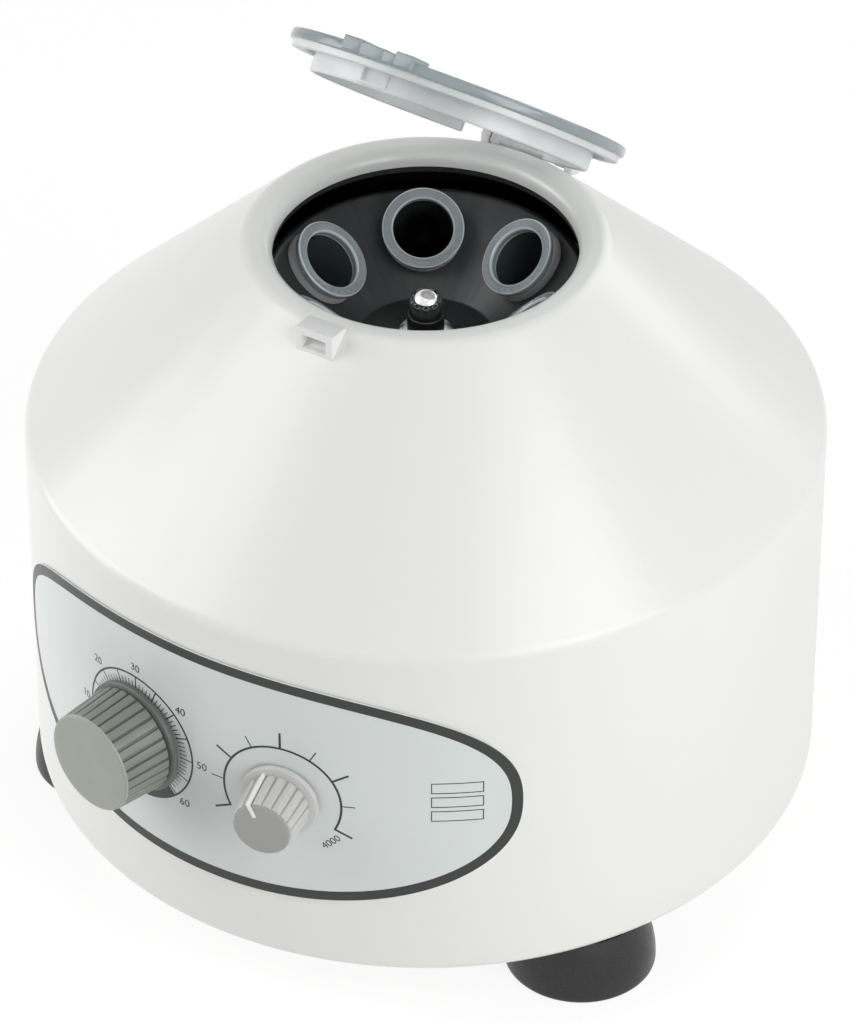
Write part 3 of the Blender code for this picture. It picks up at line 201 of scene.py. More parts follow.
class Colours(bpy.types.PropertyGroup):
    housing: colour("Housing", "White moulding", (0.800, 0.808, 0.782))
    film: colour("Film", "Printed film's ground", (0.672, 0.712, 0.706))
    ink: colour("Ink", "Printed marks and border", (0.022, 0.025, 0.022))
    timer_grip: colour("Timer knob", "Timer's knob", (0.345, 0.358, 0.325))
    speed_grip: colour("Speed knob", "Speed knob's side", (0.560, 0.560, 0.545))
    speed_cap: colour("Speed cap", "Speed knob's face", (0.345, 0.350, 0.330))
    lid: colour("Lid", "Clear plastic of the lid", (0.390, 0.455, 0.475))
    sleeve: colour("Sleeve", "Milky plastic of the sleeves", (0.420, 0.465, 0.478))
    rotor: colour("Rotor", "Coating of the rotor", (0.040, 0.041, 0.043))
    chamber: colour("Chamber", "Black plastic round the rotor", (0.010, 0.010, 0.011))
    foot: colour("Feet", "Rubber of the feet", (0.010, 0.010, 0.010))


class CentrifugeSettings(bpy.types.PropertyGroup):
    housing: PointerProperty(type=HousingSizes)
    panel: PointerProperty(type=PanelSizes)
    lid: PointerProperty(type=LidSizes)
    knobs: PointerProperty(type=KnobSizes)
    rotor: PointerProperty(type=RotorSizes)
    feet: PointerProperty(type=FootSizes)
    colours: PointerProperty(type=Colours)


def settings():
    return bpy.context.scene.centrifuge


# Node trees
class Weaver:
    """Adds nodes to a tree and feeds each input from a socket or a plain value."""

    def __init__(self, tree):
        self.tree = tree

    def __call__(self, kind, feeds=None, out=0, **choices):
        node = self.tree.nodes.new(kind)
        for key, value in choices.items():
            setattr(node, key, value)
        for key, source in (feeds or {}).items():
            if isinstance(source, bpy.types.NodeSocket):
                self.tree.links.new(source, node.inputs[key])
            else:
                node.inputs[key].default_value = source
        return node.outputs[out]

    def math(self, operation, a, b=0.0):
        return self("ShaderNodeMath", {0: a, 1: b}, operation=operation)


def shape_tree(name, inputs):
    """A new Geometry Nodes tree with a geometry output and these (name, kind) inputs."""
    tree = bpy.data.node_groups.new(name, "GeometryNodeTree")
    tree.interface.new_socket("Shape", in_out="OUTPUT", socket_type="NodeSocketGeometry")
    for label, kind in inputs:
        tree.interface.new_socket(label, in_out="INPUT", socket_type="NodeSocket" + kind)
    weave = Weaver(tree)
    group = tree.nodes.new("NodeGroupInput")
    return tree, weave, {socket.name: socket for socket in group.outputs if socket.name}


def close_tree(tree, weave, geometry, material):
    """Ends a tree in Realize Instances and Set Material."""
    real = weave("GeometryNodeRealizeInstances", {"Geometry": geometry})
    painted = weave("GeometryNodeSetMaterial", {"Geometry": real, "Material": material})
    end = tree.nodes.new("NodeGroupOutput")
    tree.links.new(painted, end.inputs[0])
    return tree


def turning_tree():
    """Sweeps a profile's points round Z in equal steps."""
    name = "turned_from_profile"
    if name in bpy.data.node_groups:
        return bpy.data.node_groups[name]
    tree, weave, given = shape_tree(name, [("Profile", "Geometry"), ("Steps", "Int"), ("Finish", "Material")])
    points = weave("GeometryNodeAttributeDomainSize", {"Geometry": given["Profile"]}, component="MESH")
    columns = weave.math("ADD", given["Steps"], 1.0)
    grid = weave("GeometryNodeMeshGrid", {"Size X": 1.0, "Size Y": 1.0, "Vertices X": columns,
                                          "Vertices Y": points})
    index = weave("GeometryNodeInputIndex")
    column = weave.math("FLOOR", weave.math("DIVIDE", index, points))
    row = weave.math("SUBTRACT", index, weave.math("MULTIPLY", column, points))
    place = weave("GeometryNodeInputPosition")
    corner = weave("GeometryNodeSampleIndex", {"Geometry": given["Profile"], "Value": place, "Index": row},
                   data_type="FLOAT_VECTOR")
    turn = weave.math("DIVIDE", weave.math("MULTIPLY", column, 2.0 * pi), given["Steps"])
    swept = weave("ShaderNodeVectorRotate", {"Vector": corner, "Angle": turn}, rotation_type="Z_AXIS")
    moved = weave("GeometryNodeSetPosition", {"Geometry": grid, "Position": swept})
    welded = weave("GeometryNodeMergeByDistance", {"Geometry": moved, "Distance": WELD})
    return close_tree(tree, weave, welded, given["Finish"])


def ring_tree():
    """Repeats one unit round Z, at equal angles from a first one."""
    name = "repeated_round_axis"
    if name in bpy.data.node_groups:
        return bpy.data.node_groups[name]
    tree, weave, given = shape_tree(name, [("Unit", "Geometry"), ("Count", "Int"), ("First Angle", "Float"),
                                           ("Step Angle", "Float"), ("Finish", "Material")])
    points = weave("GeometryNodePoints", {"Count": given["Count"], "Radius": 0.001})
    index = weave("GeometryNodeInputIndex")
    turn = weave.math("ADD", given["First Angle"], weave.math("MULTIPLY", index, given["Step Angle"]))
    facing = weave("FunctionNodeAxisAngleToRotation", {"Axis": (0.0, 0.0, 1.0), "Angle": turn})
    units = weave("GeometryNodeInstanceOnPoints", {"Points": points, "Instance": given["Unit"],
                                                   "Rotation": facing})
    return close_tree(tree, weave, units, given["Finish"])


def row_tree():
    """Repeats one unit along a straight row."""
    name = "repeated_in_row"
    if name in bpy.data.node_groups:
        return bpy.data.node_groups[name]
    tree, weave, given = shape_tree(name, [("Unit", "Geometry"), ("Count", "Int"), ("Step", "Vector"),
                                           ("Finish", "Material")])
    line = weave("GeometryNodeMeshLine", {"Count": given["Count"], "Offset": given["Step"]})
    units = weave("GeometryNodeInstanceOnPoints", {"Points": line, "Instance": given["Unit"]})
    return close_tree(tree, weave, units, given["Finish"])


def apply_tree(piece, tree, **values):
    """Runs a tree on a piece with its named inputs and keeps the result as a plain mesh."""
    modifier = piece.modifiers.new(tree.name, "NODES")
    modifier.node_group = tree
    for item in tree.interface.items_tree:
        if item.in_out == "INPUT" and item.name.replace(" ", "_").lower() in values:
            modifier[item.identifier] = values[item.name.replace(" ", "_").lower()]
    return bake(piece)


# Mesh helpers
def new_piece(name, bm, finish=None):
    mesh = bpy.data.meshes.new(name)
    bm.normal_update()
    bm.to_mesh(mesh)
    bm.free()
    piece = bpy.data.objects.new(name, mesh)
    bpy.context.scene.collection.objects.link(piece)
    if finish:
        mesh.materials.append(finish)
    return piece


def bake(piece):
    """Replaces a piece's mesh with the result of its modifiers, and removes them."""
    bpy.context.view_layer.update()
    graph = bpy.context.evaluated_depsgraph_get()
    made = bpy.data.meshes.new_from_object(piece.evaluated_get(graph), preserve_all_data_layers=True,
                                           depsgraph=graph)
    piece.modifiers.clear()
    piece.data = made
    made.name = piece.name
    return piece


def face_outwards(bm):
    bmesh.ops.recalc_face_normals(bm, faces=bm.faces)
    if bm.calc_volume(signed=True) < 0.0:
        bmesh.ops.reverse_faces(bm, faces=bm.faces)


def tidied(piece, sharp=32.0):
    """Merges doubles, turns faces outwards, and shades a piece smooth between its edges."""
    bm = bmesh.new()
    bm.from_mesh(piece.data)
    bmesh.ops.remove_doubles(bm, verts=bm.verts, dist=WELD)
    face_outwards(bm)
    bm.to_mesh(piece.data)
    bm.free()
    piece.data.shade_smooth()
    piece.data.set_sharp_from_angle(angle=radians(sharp))
    return piece


def combine(piece, cutters, operation="DIFFERENCE"):
    """Runs one Boolean with each cutter on a piece, keeps the result and removes the cutters."""
    for cutter in cutters:
        modifier = piece.modifiers.new(cutter.name, "BOOLEAN")
        modifier.object, modifier.operation, modifier.solver = cutter, operation, "EXACT"
    bake(piece)
    for cutter in cutters:
        bpy.data.objects.remove(cutter)
    return piece


def joined(name, pieces):
    """Puts several pieces in one object, each keeping its finish."""
    bm = bmesh.new()
    finishes = []
    for piece in pieces:
        start = len(bm.faces)
        bm.from_mesh(piece.data)
        bm.faces.ensure_lookup_table()
        local = list(piece.data.materials)
        for face in bm.faces[start:]:
            finish = local[face.material_index]
            if finish not in finishes:
                finishes.append(finish)
            face.material_index = finishes.index(finish)
        bpy.data.objects.remove(piece)
    whole = new_piece(name, bm)
    for finish in finishes:
        whole.data.materials.append(finish)
    return whole


def settle(piece, matrix=None):
    """Moves a piece's mesh from the housing's frame, or one inside it, into the shared frame."""
    piece.data.transform(HOME @ matrix if matrix else HOME)
    piece.data.update()
    return piece


def carry(piece, body, slot, *nodes):
    """Lets a piece ride on a body and hides the solids it stands for; its slot is not used."""
    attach(piece, body)
    if nodes:
        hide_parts(*nodes)
    return piece


def rounded(corners, segments=6):
    """Turns (x, y, radius) corners of an outline into points with filleted corners."""
    out = []
    for i, corner in enumerate(corners):
        p = Vector(corner[:2])
        r = corner[2] if len(corner) > 2 else 0.0
        before, after = corners[i - 1], corners[(i + 1) % len(corners)]
        a, b = Vector(before[:2]) - p, Vector(after[:2]) - p
        half = a.angle(b) / 2.0 if r > 0.0 and a.length > 1e-7 and b.length > 1e-7 else pi / 2.0
        if half > radians(89.0):
            out.append((p.x, p.y))
            continue
        share = [0.49 if len(other) > 2 and other[2] > 0.0 else 0.98 for other in (before, after)]
        reach = min(r / tan(half), share[0] * a.length, share[1] * b.length)
        r = reach * tan(half)
        start, stop = p + a.normalized() * reach, p + b.normalized() * reach
        centre = p + (a.normalized() + b.normalized()).normalized() * (r / sin(half))
        u = start - centre
        turn = u.angle_signed(stop - centre)
        for k in range(segments + 1):
            w = u.copy()
            w.rotate(Matrix.Rotation(-turn * k / segments, 2))
            out.append((centre.x + w.x, centre.y + w.y))
    return out


def turned(name, profile, finish, steps=96, closed=True, sharp=32.0):
    """A turned piece from a profile of (radius, height) points, closed or from axis to axis."""
    bm = bmesh.new()
    points = list(profile) + ([profile[0]] if closed else [])
    made = [bm.verts.new((x, 0.0, z)) for x, z in points]
    for a, b in zip(made, made[1:]):
        bm.edges.new((a, b))
    piece = new_piece(name, bm)
    apply_tree(piece, turning_tree(), steps=steps, finish=finish)
    return tidied(piece, sharp)


def plate(name, outline, thickness, finish=None, ease=0.0, place=None):
    """A flat piece from a 2D outline, centred on z = 0, with its edges eased."""
    bm = bmesh.new()
    low = [bm.verts.new((x, y, -thickness / 2.0)) for x, y in outline]
    high = [bm.verts.new((x, y, thickness / 2.0)) for x, y in outline]
    bm.faces.new(low)
    bm.faces.new(high)
    for k in range(len(outline)):
        n = (k + 1) % len(outline)
        bm.faces.new((low[k], low[n], high[n], high[k]))
    face_outwards(bm)
    return eased(new_piece(name, bm, finish), ease, place)


def block(name, size, centre, finish=None, ease=0.0, place=None):
    bm = bmesh.new()
    bmesh.ops.create_cube(bm, size=1.0)
    bmesh.ops.scale(bm, vec=size, verts=bm.verts)
    bmesh.ops.translate(bm, vec=centre, verts=bm.verts)
    return eased(new_piece(name, bm, finish), ease, place)


def rod(name, radius, low, high, place=None, finish=None, segments=64, ease=0.0):
    bm = bmesh.new()
    bmesh.ops.create_cone(bm, cap_ends=True, segments=segments, radius1=radius, radius2=radius,
                          depth=high - low)
    bmesh.ops.translate(bm, verts=bm.verts, vec=(0.0, 0.0, (low + high) / 2.0))
    return eased(new_piece(name, bm, finish), ease, place)


def eased(piece, width, place=None, segments=3):
    """Rounds a piece's edges by a small width, then moves its mesh to its place."""
    if width > 0.0:
        modifier = piece.modifiers.new("ease", "BEVEL")
        modifier.width, modifier.segments, modifier.limit_method = width, segments, "ANGLE"
        modifier.angle_limit = radians(30.0)
        bake(piece)
    if place:
        piece.data.transform(place)
    return piece


def spot(degrees, ring, z=0.0):
    """A frame on a circle about the rotor's axis."""
    a = radians(degrees)
    return Matrix.Translation((ring * sin(a), -ring * cos(a), z)) @ Matrix.Rotation(a, 4, "Z")


def outward(a, z, distance=0.0):
    """A frame on the wall at angle a in radians, whose Z points straight out and whose Y is up."""
    turn = Matrix.Rotation(a, 4, "Z") @ Matrix.Rotation(pi / 2.0, 4, "X")
    return Matrix.Translation((0.0, 0.0, z)) @ turn @ Matrix.Translation((0.0, 0.0, distance))


def across(x=0.0, y=0.0, z=0.0):
    """A frame whose Z lies along X, at a point."""
    return Matrix.Translation((x, y, z)) @ Matrix.Rotation(pi / 2.0, 4, "Y")


def side_on(x=0.0):
    """Stands a plate upright, so that its outline lies in the YZ plane."""
    return (Matrix.Translation((x, 0.0, 0.0)) @ Matrix.Rotation(pi / 2.0, 4, "Z")
            @ Matrix.Rotation(pi / 2.0, 4, "X"))


# Finishes
def new_finish(name):
    """A material with its Principled shader, its weaver, and Object coordinates."""
    material = bpy.data.materials.new(name)
    material.use_nodes = True
    shader = material.node_tree.nodes["Principled BSDF"]
    weave = Weaver(material.node_tree)
    return material, shader, weave, weave("ShaderNodeTexCoord", out=3)


def between(weave, value, low, high, out_low, out_high):
    return weave("ShaderNodeMapRange", {0: value, 1: low, 2: high, 3: out_low, 4: out_high})


def blended(weave, factor, first, second):
    return weave("ShaderNodeMix", {0: factor, 6: (*first, 1.0), 7: (*second, 1.0)}, out=2, data_type="RGBA")


def noise(weave, where, scale, detail=3.0, roughness=0.55):
    return weave("ShaderNodeTexNoise", {"Vector": where, "Scale": scale, "Detail": detail,
                                        "Roughness": roughness})


def relief(weave, shader, height, strength, depth, after=None):
    feeds = {"Height": height, "Strength": strength, "Distance": depth}
    if after:
        feeds["Normal"] = after
    bump = weave("ShaderNodeBump", feeds)
    feed(weave, shader, "Normal", bump)
    return bump


def constants(shader, values):
    for key, value in values.items():
        shader.inputs[key].default_value = value


def feed(weave, shader, key, source):
    weave.tree.links.new(source, shader.inputs[key])


def toned(tint, factor):
    return tuple(min(1.0, c * factor) for c in tint)


def tinted(weave, shader, tone, tint, spread):
    """Lets the colour swing round its tint by a share, as the tone says."""
    low, high = toned(tint, 1.0 - spread), toned(tint, 1.0 + spread)
    feed(weave, shader, "Base Color", blended(weave, tone, low, high))


def moulded(name, tint, rough, spread=0.03, patch=22.0, grain=1400.0, strength=0.12, swing=0.05,
            wave=0.0, **extra):
    """Moulded or coated surface: tone, sheen and a fine grain that vary over the piece."""
    material, shader, weave, where = new_finish(name)
    cloud = noise(weave, where, patch, 4.0)
    tone = between(weave, cloud, 0.3, 0.7, 0.0, 1.0)
    tinted(weave, shader, tone, tint, spread)
    sheen = noise(weave, where, patch * 6.0, 3.0)
    feed(weave, shader, "Roughness", between(weave, sheen, 0.3, 0.7, max(0.02, rough - swing), rough + swing))
    fine = relief(weave, shader, noise(weave, where, grain, 2.0), strength, 0.0001)
    if wave:
        relief(weave, shader, noise(weave, where, 14.0, 2.0), wave, 0.002, fine)
    constants(shader, extra)
    return material


def spun(name, tint, rough, place=None, pitch=0.0004, spread=0.06, strength=0.25, sheen_streak=0.0, **extra):
    """Turned surface: fine rings about an axis, and a painted sheen of lighter and darker streaks out from
    it.
    """
    material, shader, weave, where = new_finish(name)
    back = (place if place else HOME).inverted()
    local = weave("ShaderNodeMapping", {"Vector": where, "Location": back.to_translation(),
                                        "Rotation": back.to_euler()})
    flat = weave("ShaderNodeVectorMath", {0: local, 1: (1.0, 1.0, 0.0)}, operation="MULTIPLY")
    radius = weave("ShaderNodeVectorMath", {0: flat}, out=1, operation="LENGTH")
    height = weave("ShaderNodeSeparateXYZ", {0: local}, out=2)
    run = weave.math("DIVIDE", weave.math("ADD", radius, height), pitch)
    rings = weave("ShaderNodeTexNoise", {"W": run, "Scale": 1.0, "Detail": 2.0}, noise_dimensions="1D")
    cloud = noise(weave, where, 60.0, 3.0)
    tone = weave.math("ADD", weave.math("MULTIPLY", rings, 0.5), weave.math("MULTIPLY", cloud, 0.5))
    # Painted sheen: the tone grows lighter and darker in streaks by direction round the axis.
    if sheen_streak:
        aim = weave("ShaderNodeVectorMath", {0: flat}, operation="NORMALIZE")
        rays = noise(weave, aim, 7.0, 3.0, 0.7)
        tone = weave.math("ADD", weave.math("MULTIPLY", tone, 1.0 - sheen_streak),
                          weave.math("MULTIPLY", rays, sheen_streak))
    tone = between(weave, tone, 0.35, 0.65, 0.0, 1.0)
    tinted(weave, shader, tone, tint, spread)
    feed(weave, shader, "Roughness", between(weave, rings, 0.3, 0.7, max(0.03, rough - 0.06), rough + 0.06))
    relief(weave, shader, rings, strength, 0.00005)
    stretched(weave, shader)
    constants(shader, extra)
    return material


def stretched(weave, shader):
    """Turns the gloss's direction round Z, as fine rings do."""
    feed(weave, shader, "Tangent", weave("ShaderNodeTangent", direction_type="RADIAL", axis="Z"))


def rubber(name, tint, rough, **extra):
    """Glossy rubber from a turned mould: its gloss is drawn out along the sides."""
    material = moulded(name, tint, rough, 0.15, 50.0, 1800.0, 0.05, 0.04)
    shader = material.node_tree.nodes["Principled BSDF"]
    stretched(Weaver(material.node_tree), shader)
    constants(shader, extra)
    return material


def banded(name, tint, other, pitch, rough, strength=0.5, **extra):
    """Stacked sheets or wound wire: bands along Z with a little scatter between them."""
    material, shader, weave, where = new_finish(name)
    height = weave("ShaderNodeSeparateXYZ", {0: where}, out=2)
    shift = weave.math("MULTIPLY", noise(weave, where, 120.0), 0.35)
    turn = weave.math("ADD", weave.math("DIVIDE", height, pitch), shift)
    wave = weave.math("PINGPONG", turn, 0.5)
    edge = between(weave, wave, 0.05, 0.30, 0.0, 1.0)
    feed(weave, shader, "Base Color", blended(weave, edge, other, tint))
    scatter = noise(weave, where, 400.0)
    feed(weave, shader, "Roughness", between(weave, scatter, 0.3, 0.7, rough - 0.06, rough + 0.08))
    relief(weave, shader, edge, strength, 0.0002)
    constants(shader, extra)
    return material


def plated(name, tint, rough, cell=160.0, **extra):
    """Zinc-plated steel: crystal patches of slightly different tone and sheen, and fine scratches."""
    material, shader, weave, where = new_finish(name)
    cells = weave("ShaderNodeTexVoronoi", {"Vector": where, "Scale": cell}, out=1)
    grey = weave("ShaderNodeSeparateColor", {0: cells})
    feed(weave, shader, "Base Color", blended(weave, grey, toned(tint, 0.86), toned(tint, 1.10)))
    feed(weave, shader, "Roughness", between(weave, grey, 0.0, 1.0, rough - 0.06, rough + 0.08))
    long = weave("ShaderNodeMapping", {"Vector": where, "Scale": (1.0, 0.06, 1.0)})
    relief(weave, shader, noise(weave, long, 2600.0, 2.0), 0.08, 0.00005)
    constants(shader, {"Metallic": 1.0, **extra})
    return material


def clear(name, tint, rough, through, spread=0.04, patch=55.0, **extra):
    """Clear or milky plastic: light passes through, with flow marks and a faint haze."""
    material, shader, weave, where = new_finish(name)
    flow = weave("ShaderNodeMapping", {"Vector": where, "Scale": (1.0, 0.35, 1.0)})
    cloud = noise(weave, flow, patch, 3.0)
    tone = between(weave, cloud, 0.3, 0.7, 0.0, 1.0)
    tinted(weave, shader, tone, tint, spread)
    haze = noise(weave, where, 60.0, 2.0)
    feed(weave, shader, "Roughness", between(weave, haze, 0.3, 0.7, max(0.02, rough - 0.03), rough + 0.04))
    relief(weave, shader, noise(weave, where, 45.0, 1.0), 0.04, 0.0004)
    constants(shader, {"Transmission Weight": through, "IOR": 1.49, **extra})
    return material


def circuit_board(name):
    """Green laminate with lighter traces and bright solder points."""
    material, shader, weave, where = new_finish(name)
    turned_in = weave("ShaderNodeMapping", {"Vector": where, "Rotation": (0.0, 0.0, radians(-30.0))})
    traces = weave("ShaderNodeTexBrick", {
        "Vector": turned_in, "Color1": (0.03, 0.17, 0.07, 1.0), "Color2": (0.02, 0.13, 0.05, 1.0),
        "Mortar": (0.07, 0.30, 0.13, 1.0), "Scale": 110.0, "Mortar Size": 0.05})
    dots = weave("ShaderNodeTexVoronoi", {"Vector": where, "Scale": 380.0, "Randomness": 0.2})
    solder = between(weave, dots, 0.16, 0.22, 1.0, 0.0)
    mixed = weave("ShaderNodeMix", {0: solder, 6: traces, 7: (0.60, 0.60, 0.58, 1.0)}, out=2,
                  data_type="RGBA")
    feed(weave, shader, "Base Color", mixed)
    feed(weave, shader, "Roughness", between(weave, solder, 0.0, 1.0, 0.45, 0.25))
    relief(weave, shader, solder, 0.3, 0.0003)
    return material


FINISHES = {
    "white_moulding": lambda c: moulded("white_moulding", c.housing, 0.30, 0.004, 6.0, 900.0, 0.015, 0.012,
                                        0.012, **{"Coat Weight": 0.15, "Coat Roughness": 0.18}),
    "panel_film": lambda c: moulded("panel_film", c.film, 0.24, 0.006, 18.0, 1400.0, 0.010, 0.010),
    "print_ink": lambda c: moulded("print_ink", c.ink, 0.34, 0.06, 40.0, 1400.0, 0.010, 0.02),
    "timer_grey": lambda c: moulded("timer_grey", c.timer_grip, 0.36, 0.04, 60.0, 2600.0, 0.14),
    # The ribs' sides: the timer's grey darkened, as painted shade on the sides that turn from the light.
    "timer_side": lambda c: moulded("timer_side", toned(c.timer_grip, 0.60), 0.40, 0.05, 60.0, 2600.0, 0.14),
    # The knob's core: the timer's grey much darkened, as painted shade in the grooves between the ribs and on
    # the flange.
    "timer_dark": lambda c: moulded("timer_dark", toned(c.timer_grip, 0.35), 0.42, 0.06, 60.0, 2600.0, 0.14),
    "speed_pale": lambda c: moulded("speed_pale", c.speed_grip, 0.38, 0.03, 60.0, 2600.0, 0.12),
    "speed_cap": lambda c: moulded("speed_cap", c.speed_cap, 0.42, 0.03, 60.0, 2600.0, 0.12),
    "pointer_white": lambda c: moulded("pointer_white", (0.86, 0.86, 0.84), 0.35, 0.02, 80.0, 2600.0, 0.08),
    "lid_flange": lambda c: clear("lid_flange", c.lid, 0.14, 0.55, 0.12, 30.0),
    "lid_skirt": lambda c: clear("lid_skirt", (0.84, 0.86, 0.865), 0.34, 0.35, 0.16, 26.0),
    "lid_clear": lambda c: clear("lid_clear", (0.93, 0.95, 0.955), 0.20, 0.40),
    "sleeve_milky": lambda c: clear("sleeve_milky", c.sleeve, 0.22, 0.35, 0.10, 120.0),
    # The sleeve's plastic much lightened, on the flange's outer and inner edges and a thin ring in the bore:
    # painted highlight.
    "sleeve_edge": lambda c: clear("sleeve_edge", toned(c.sleeve, 1.85), 0.12, 0.15, 0.06),
    # The sleeve's plastic darkened for the tube below the flange: painted shade in the bore, while its high
    # transmission also lets the real black socket show through.
    "sleeve_tube": lambda c: clear("sleeve_tube", toned(c.sleeve, 0.73), 0.16, 0.92, 0.06),
    # The rotor's radial streaks of tone are a painted sheen, laid over its real anisotropic gloss.
    "rotor_satin": lambda c: spun("rotor_satin", c.rotor, 0.36, None, 0.0005, 0.25, 0.18, 0.45,
                                  **{"Metallic": 0.35, "Anisotropic": 0.6}),
    "chamber_black": lambda c: moulded("chamber_black", c.chamber, 0.50, 0.15, 40.0, 1800.0, 0.25),
    "foot_rubber": lambda c: rubber("foot_rubber", c.foot, 0.28, Anisotropic=0.85),
    "damper_rubber": lambda c: moulded("damper_rubber", toned(c.foot, 1.6), 0.60, 0.15, 50.0, 1200.0, 0.30),
    "bright_steel": lambda c: spun("bright_steel", (0.80, 0.80, 0.79), 0.12, None, 0.0003, 0.04, 0.06,
                                   **{"Metallic": 1.0}),
    "turned_steel": lambda c: spun("turned_steel", (0.55, 0.55, 0.54), 0.30, None, 0.0004, 0.08, 0.25,
                                   **{"Metallic": 1.0}),
    "zinc_steel": lambda c: plated("zinc_steel", (0.62, 0.62, 0.60), 0.32),
    "cast_alloy": lambda c: moulded("cast_alloy", (0.50, 0.50, 0.51), 0.48, 0.08, 80.0, 700.0, 0.45, 0.08,
                                    Metallic=1.0),
    "laminated_iron": lambda c: banded("laminated_iron", (0.20, 0.20, 0.21), (0.06, 0.06, 0.065), 0.0006, 0.5,
                                       Metallic=0.8),
    "winding_copper": lambda c: banded("winding_copper", (0.60, 0.24, 0.10), (0.20, 0.06, 0.02), 0.0007, 0.32,
                                       Metallic=0.9),
    "carbon": lambda c: moulded("carbon", (0.035, 0.035, 0.038), 0.55, 0.2, 120.0, 900.0, 0.3, 0.08),
    "fuse_black": lambda c: moulded("fuse_black", (0.014, 0.014, 0.015), 0.34, 0.12, 60.0, 2000.0, 0.12),
    "board_green": lambda c: circuit_board("board_green"),
}


def finish(name):
    """The named finish, made once."""
    return bpy.data.materials.get(name) or FINISHES[name](settings().colours)


# Housing
def cone_slope(h):
    return atan2(h.lip_height - h.shoulder_height, h.wall_radius - h.lip_corner)


def cone_height(h, radius):
    return h.lip_height - (radius - h.lip_corner) * tan(cone_slope(h))


class CENTRIFUGE_OT_housing(bpy.types.Operator):
    """Moulded white housing with its conical roof, lip, catch and hinge lugs"""
    bl_idname = "centrifuge.housing"
    bl_label = "Housing"

    def execute(self, context):
        h, white = settings().housing, finish("white_moulding")
        slope, wall = cone_slope(h), h.wall
        inner = h.wall_radius - wall
        drop = wall / cos(slope)
        roll = [(h.mouth_radius + h.lip_roll * (1.0 - cos(radians(a))),
                 h.lip_height - h.lip_roll * (1.0 - sin(radians(a)))) for a in range(0, 91, 6)]
        shell = turned("housing_moulding", rounded([
            *roll, (h.lip_corner, h.lip_height, h.lip_round),
            (h.wall_radius, h.shoulder_height, h.shoulder_round), (h.wall_radius, 0.0, h.skirt_round),
            (h.wall_radius - 0.008, 0.0, 0.0004), (h.wall_radius - 0.008, 0.004, 0.0004),
            (inner, 0.009), (inner, cone_height(h, inner) - drop),
            (h.lip_corner + (wall - drop) / tan(slope), h.lip_height - wall),
            (h.mouth_radius + wall, h.lip_height - wall),
            (h.mouth_radius + wall, h.lip_height - h.collar_depth),
            (h.mouth_radius, h.lip_height - h.collar_depth, 0.0003)], 10), white, h.steps)
        combine(shell, [self.catch(h), *self.lugs(h)], "UNION")
        lid = settings().lid
        y, z = hinge_at.y - axis_y, hinge_at.z - lower_edge
        half = lid.ear_middle + lid.ear_width / 2.0 + GAP
        cuts = [rod("relief", lid.eye_radius + 0.0005, -half, half, across(0, y, z)),
                rod("pin_bore", PIN_BORE, -BORE_HALF, BORE_HALF, across(0, y, z), segments=32)]
        panel = settings().panel
        for a, height, radius in ((panel.timer_angle, panel.timer_height, CONTROL_BORE),
                                  (panel.speed_angle, panel.speed_height, CONTROL_BORE),
                                  (GLAND_ANGLE, REAR_HEIGHT, GLAND_BORE),
                                  (FUSE_ANGLE, REAR_HEIGHT, FUSE_BORE)):
            place = outward(a, height, h.wall_radius)
            cuts.append(rod("wall_hole", radius, -0.012, 0.012, place, segments=48))
        combine(shell, cuts)
        carry(settle(tidied(shell, 30.0)), "base", "housing", "housing_shell")
        return {"FINISHED"}

    def catch(self, h):
        """Open box below the lip: a sloping roof and two cheeks round a window."""
        front, back, top = -h.catch_reach, -0.0566, 0.1975
        body = plate("catch", [(front, cone_height(h, -front) - 0.0016), (front, top),
                               (back, top - 0.001), (back, cone_height(h, -back) - 0.0024)],
                     h.catch_width, None, 0.00035, side_on())
        low, high = cone_height(h, -front) + 0.0010, top - 0.0026
        window = plate("window", [(front - 0.002, low), (front - 0.002, high), (back - 0.002, high),
                                  (back - 0.002, low + 0.0012)], h.catch_width - 0.0048, None, 0.0, side_on())
        return combine(body, [window])

    def lugs(self, h):
        lid = settings().lid
        y, z, eye = hinge_at.y - axis_y, hinge_at.z - lower_edge, lid.eye_radius
        low = cone_height(h, y) - 0.0018
        outline = [(y + eye * cos(radians(a)), z + eye * sin(radians(a))) for a in range(-30, 151, 12)]
        outline += [(y - eye - 0.0006, low + 0.002), (y + eye, low)]
        middle = lid.ear_middle + lid.ear_width / 2.0 + 0.0019
        return [plate("lug", outline, 0.003, None, 0.0003, side_on(s * middle)) for s in (-1.0, 1.0)]


# Printed panel
def wrap(piece, inner, middle_height, middle_arc=0.0):
    """Bends a flat piece, x along the wall, y up and z outwards, round the wall."""
    wall = settings().housing.wall_radius
    for vertex in piece.data.vertices:
        a, r = (vertex.co.x + middle_arc) / wall, inner + vertex.co.z
        vertex.co = (r * sin(a), -r * cos(a), middle_height + vertex.co.y)
    return piece


def strip(name, inner, outer, thickness, finish_name, closed=True):
    """A raised band between two lines of as many points."""
    bm = bmesh.new()
    rows = []
    for line, z in ((inner, 0.0), (outer, 0.0), (outer, thickness), (inner, thickness)):
        rows.append([bm.verts.new((x, y, z)) for x, y in line])
    total = len(inner)
    for i in range(4):
        a, b = rows[i], rows[(i + 1) % 4]
        for k in range(total if closed else total - 1):
            n = (k + 1) % total
            bm.faces.new((a[k], a[n], b[n], b[k]))
    if not closed:
        for k in (0, total - 1):
            bm.faces.new([row[k] for row in rows])
    face_outwards(bm)
    return new_piece(name, bm, finish(finish_name))


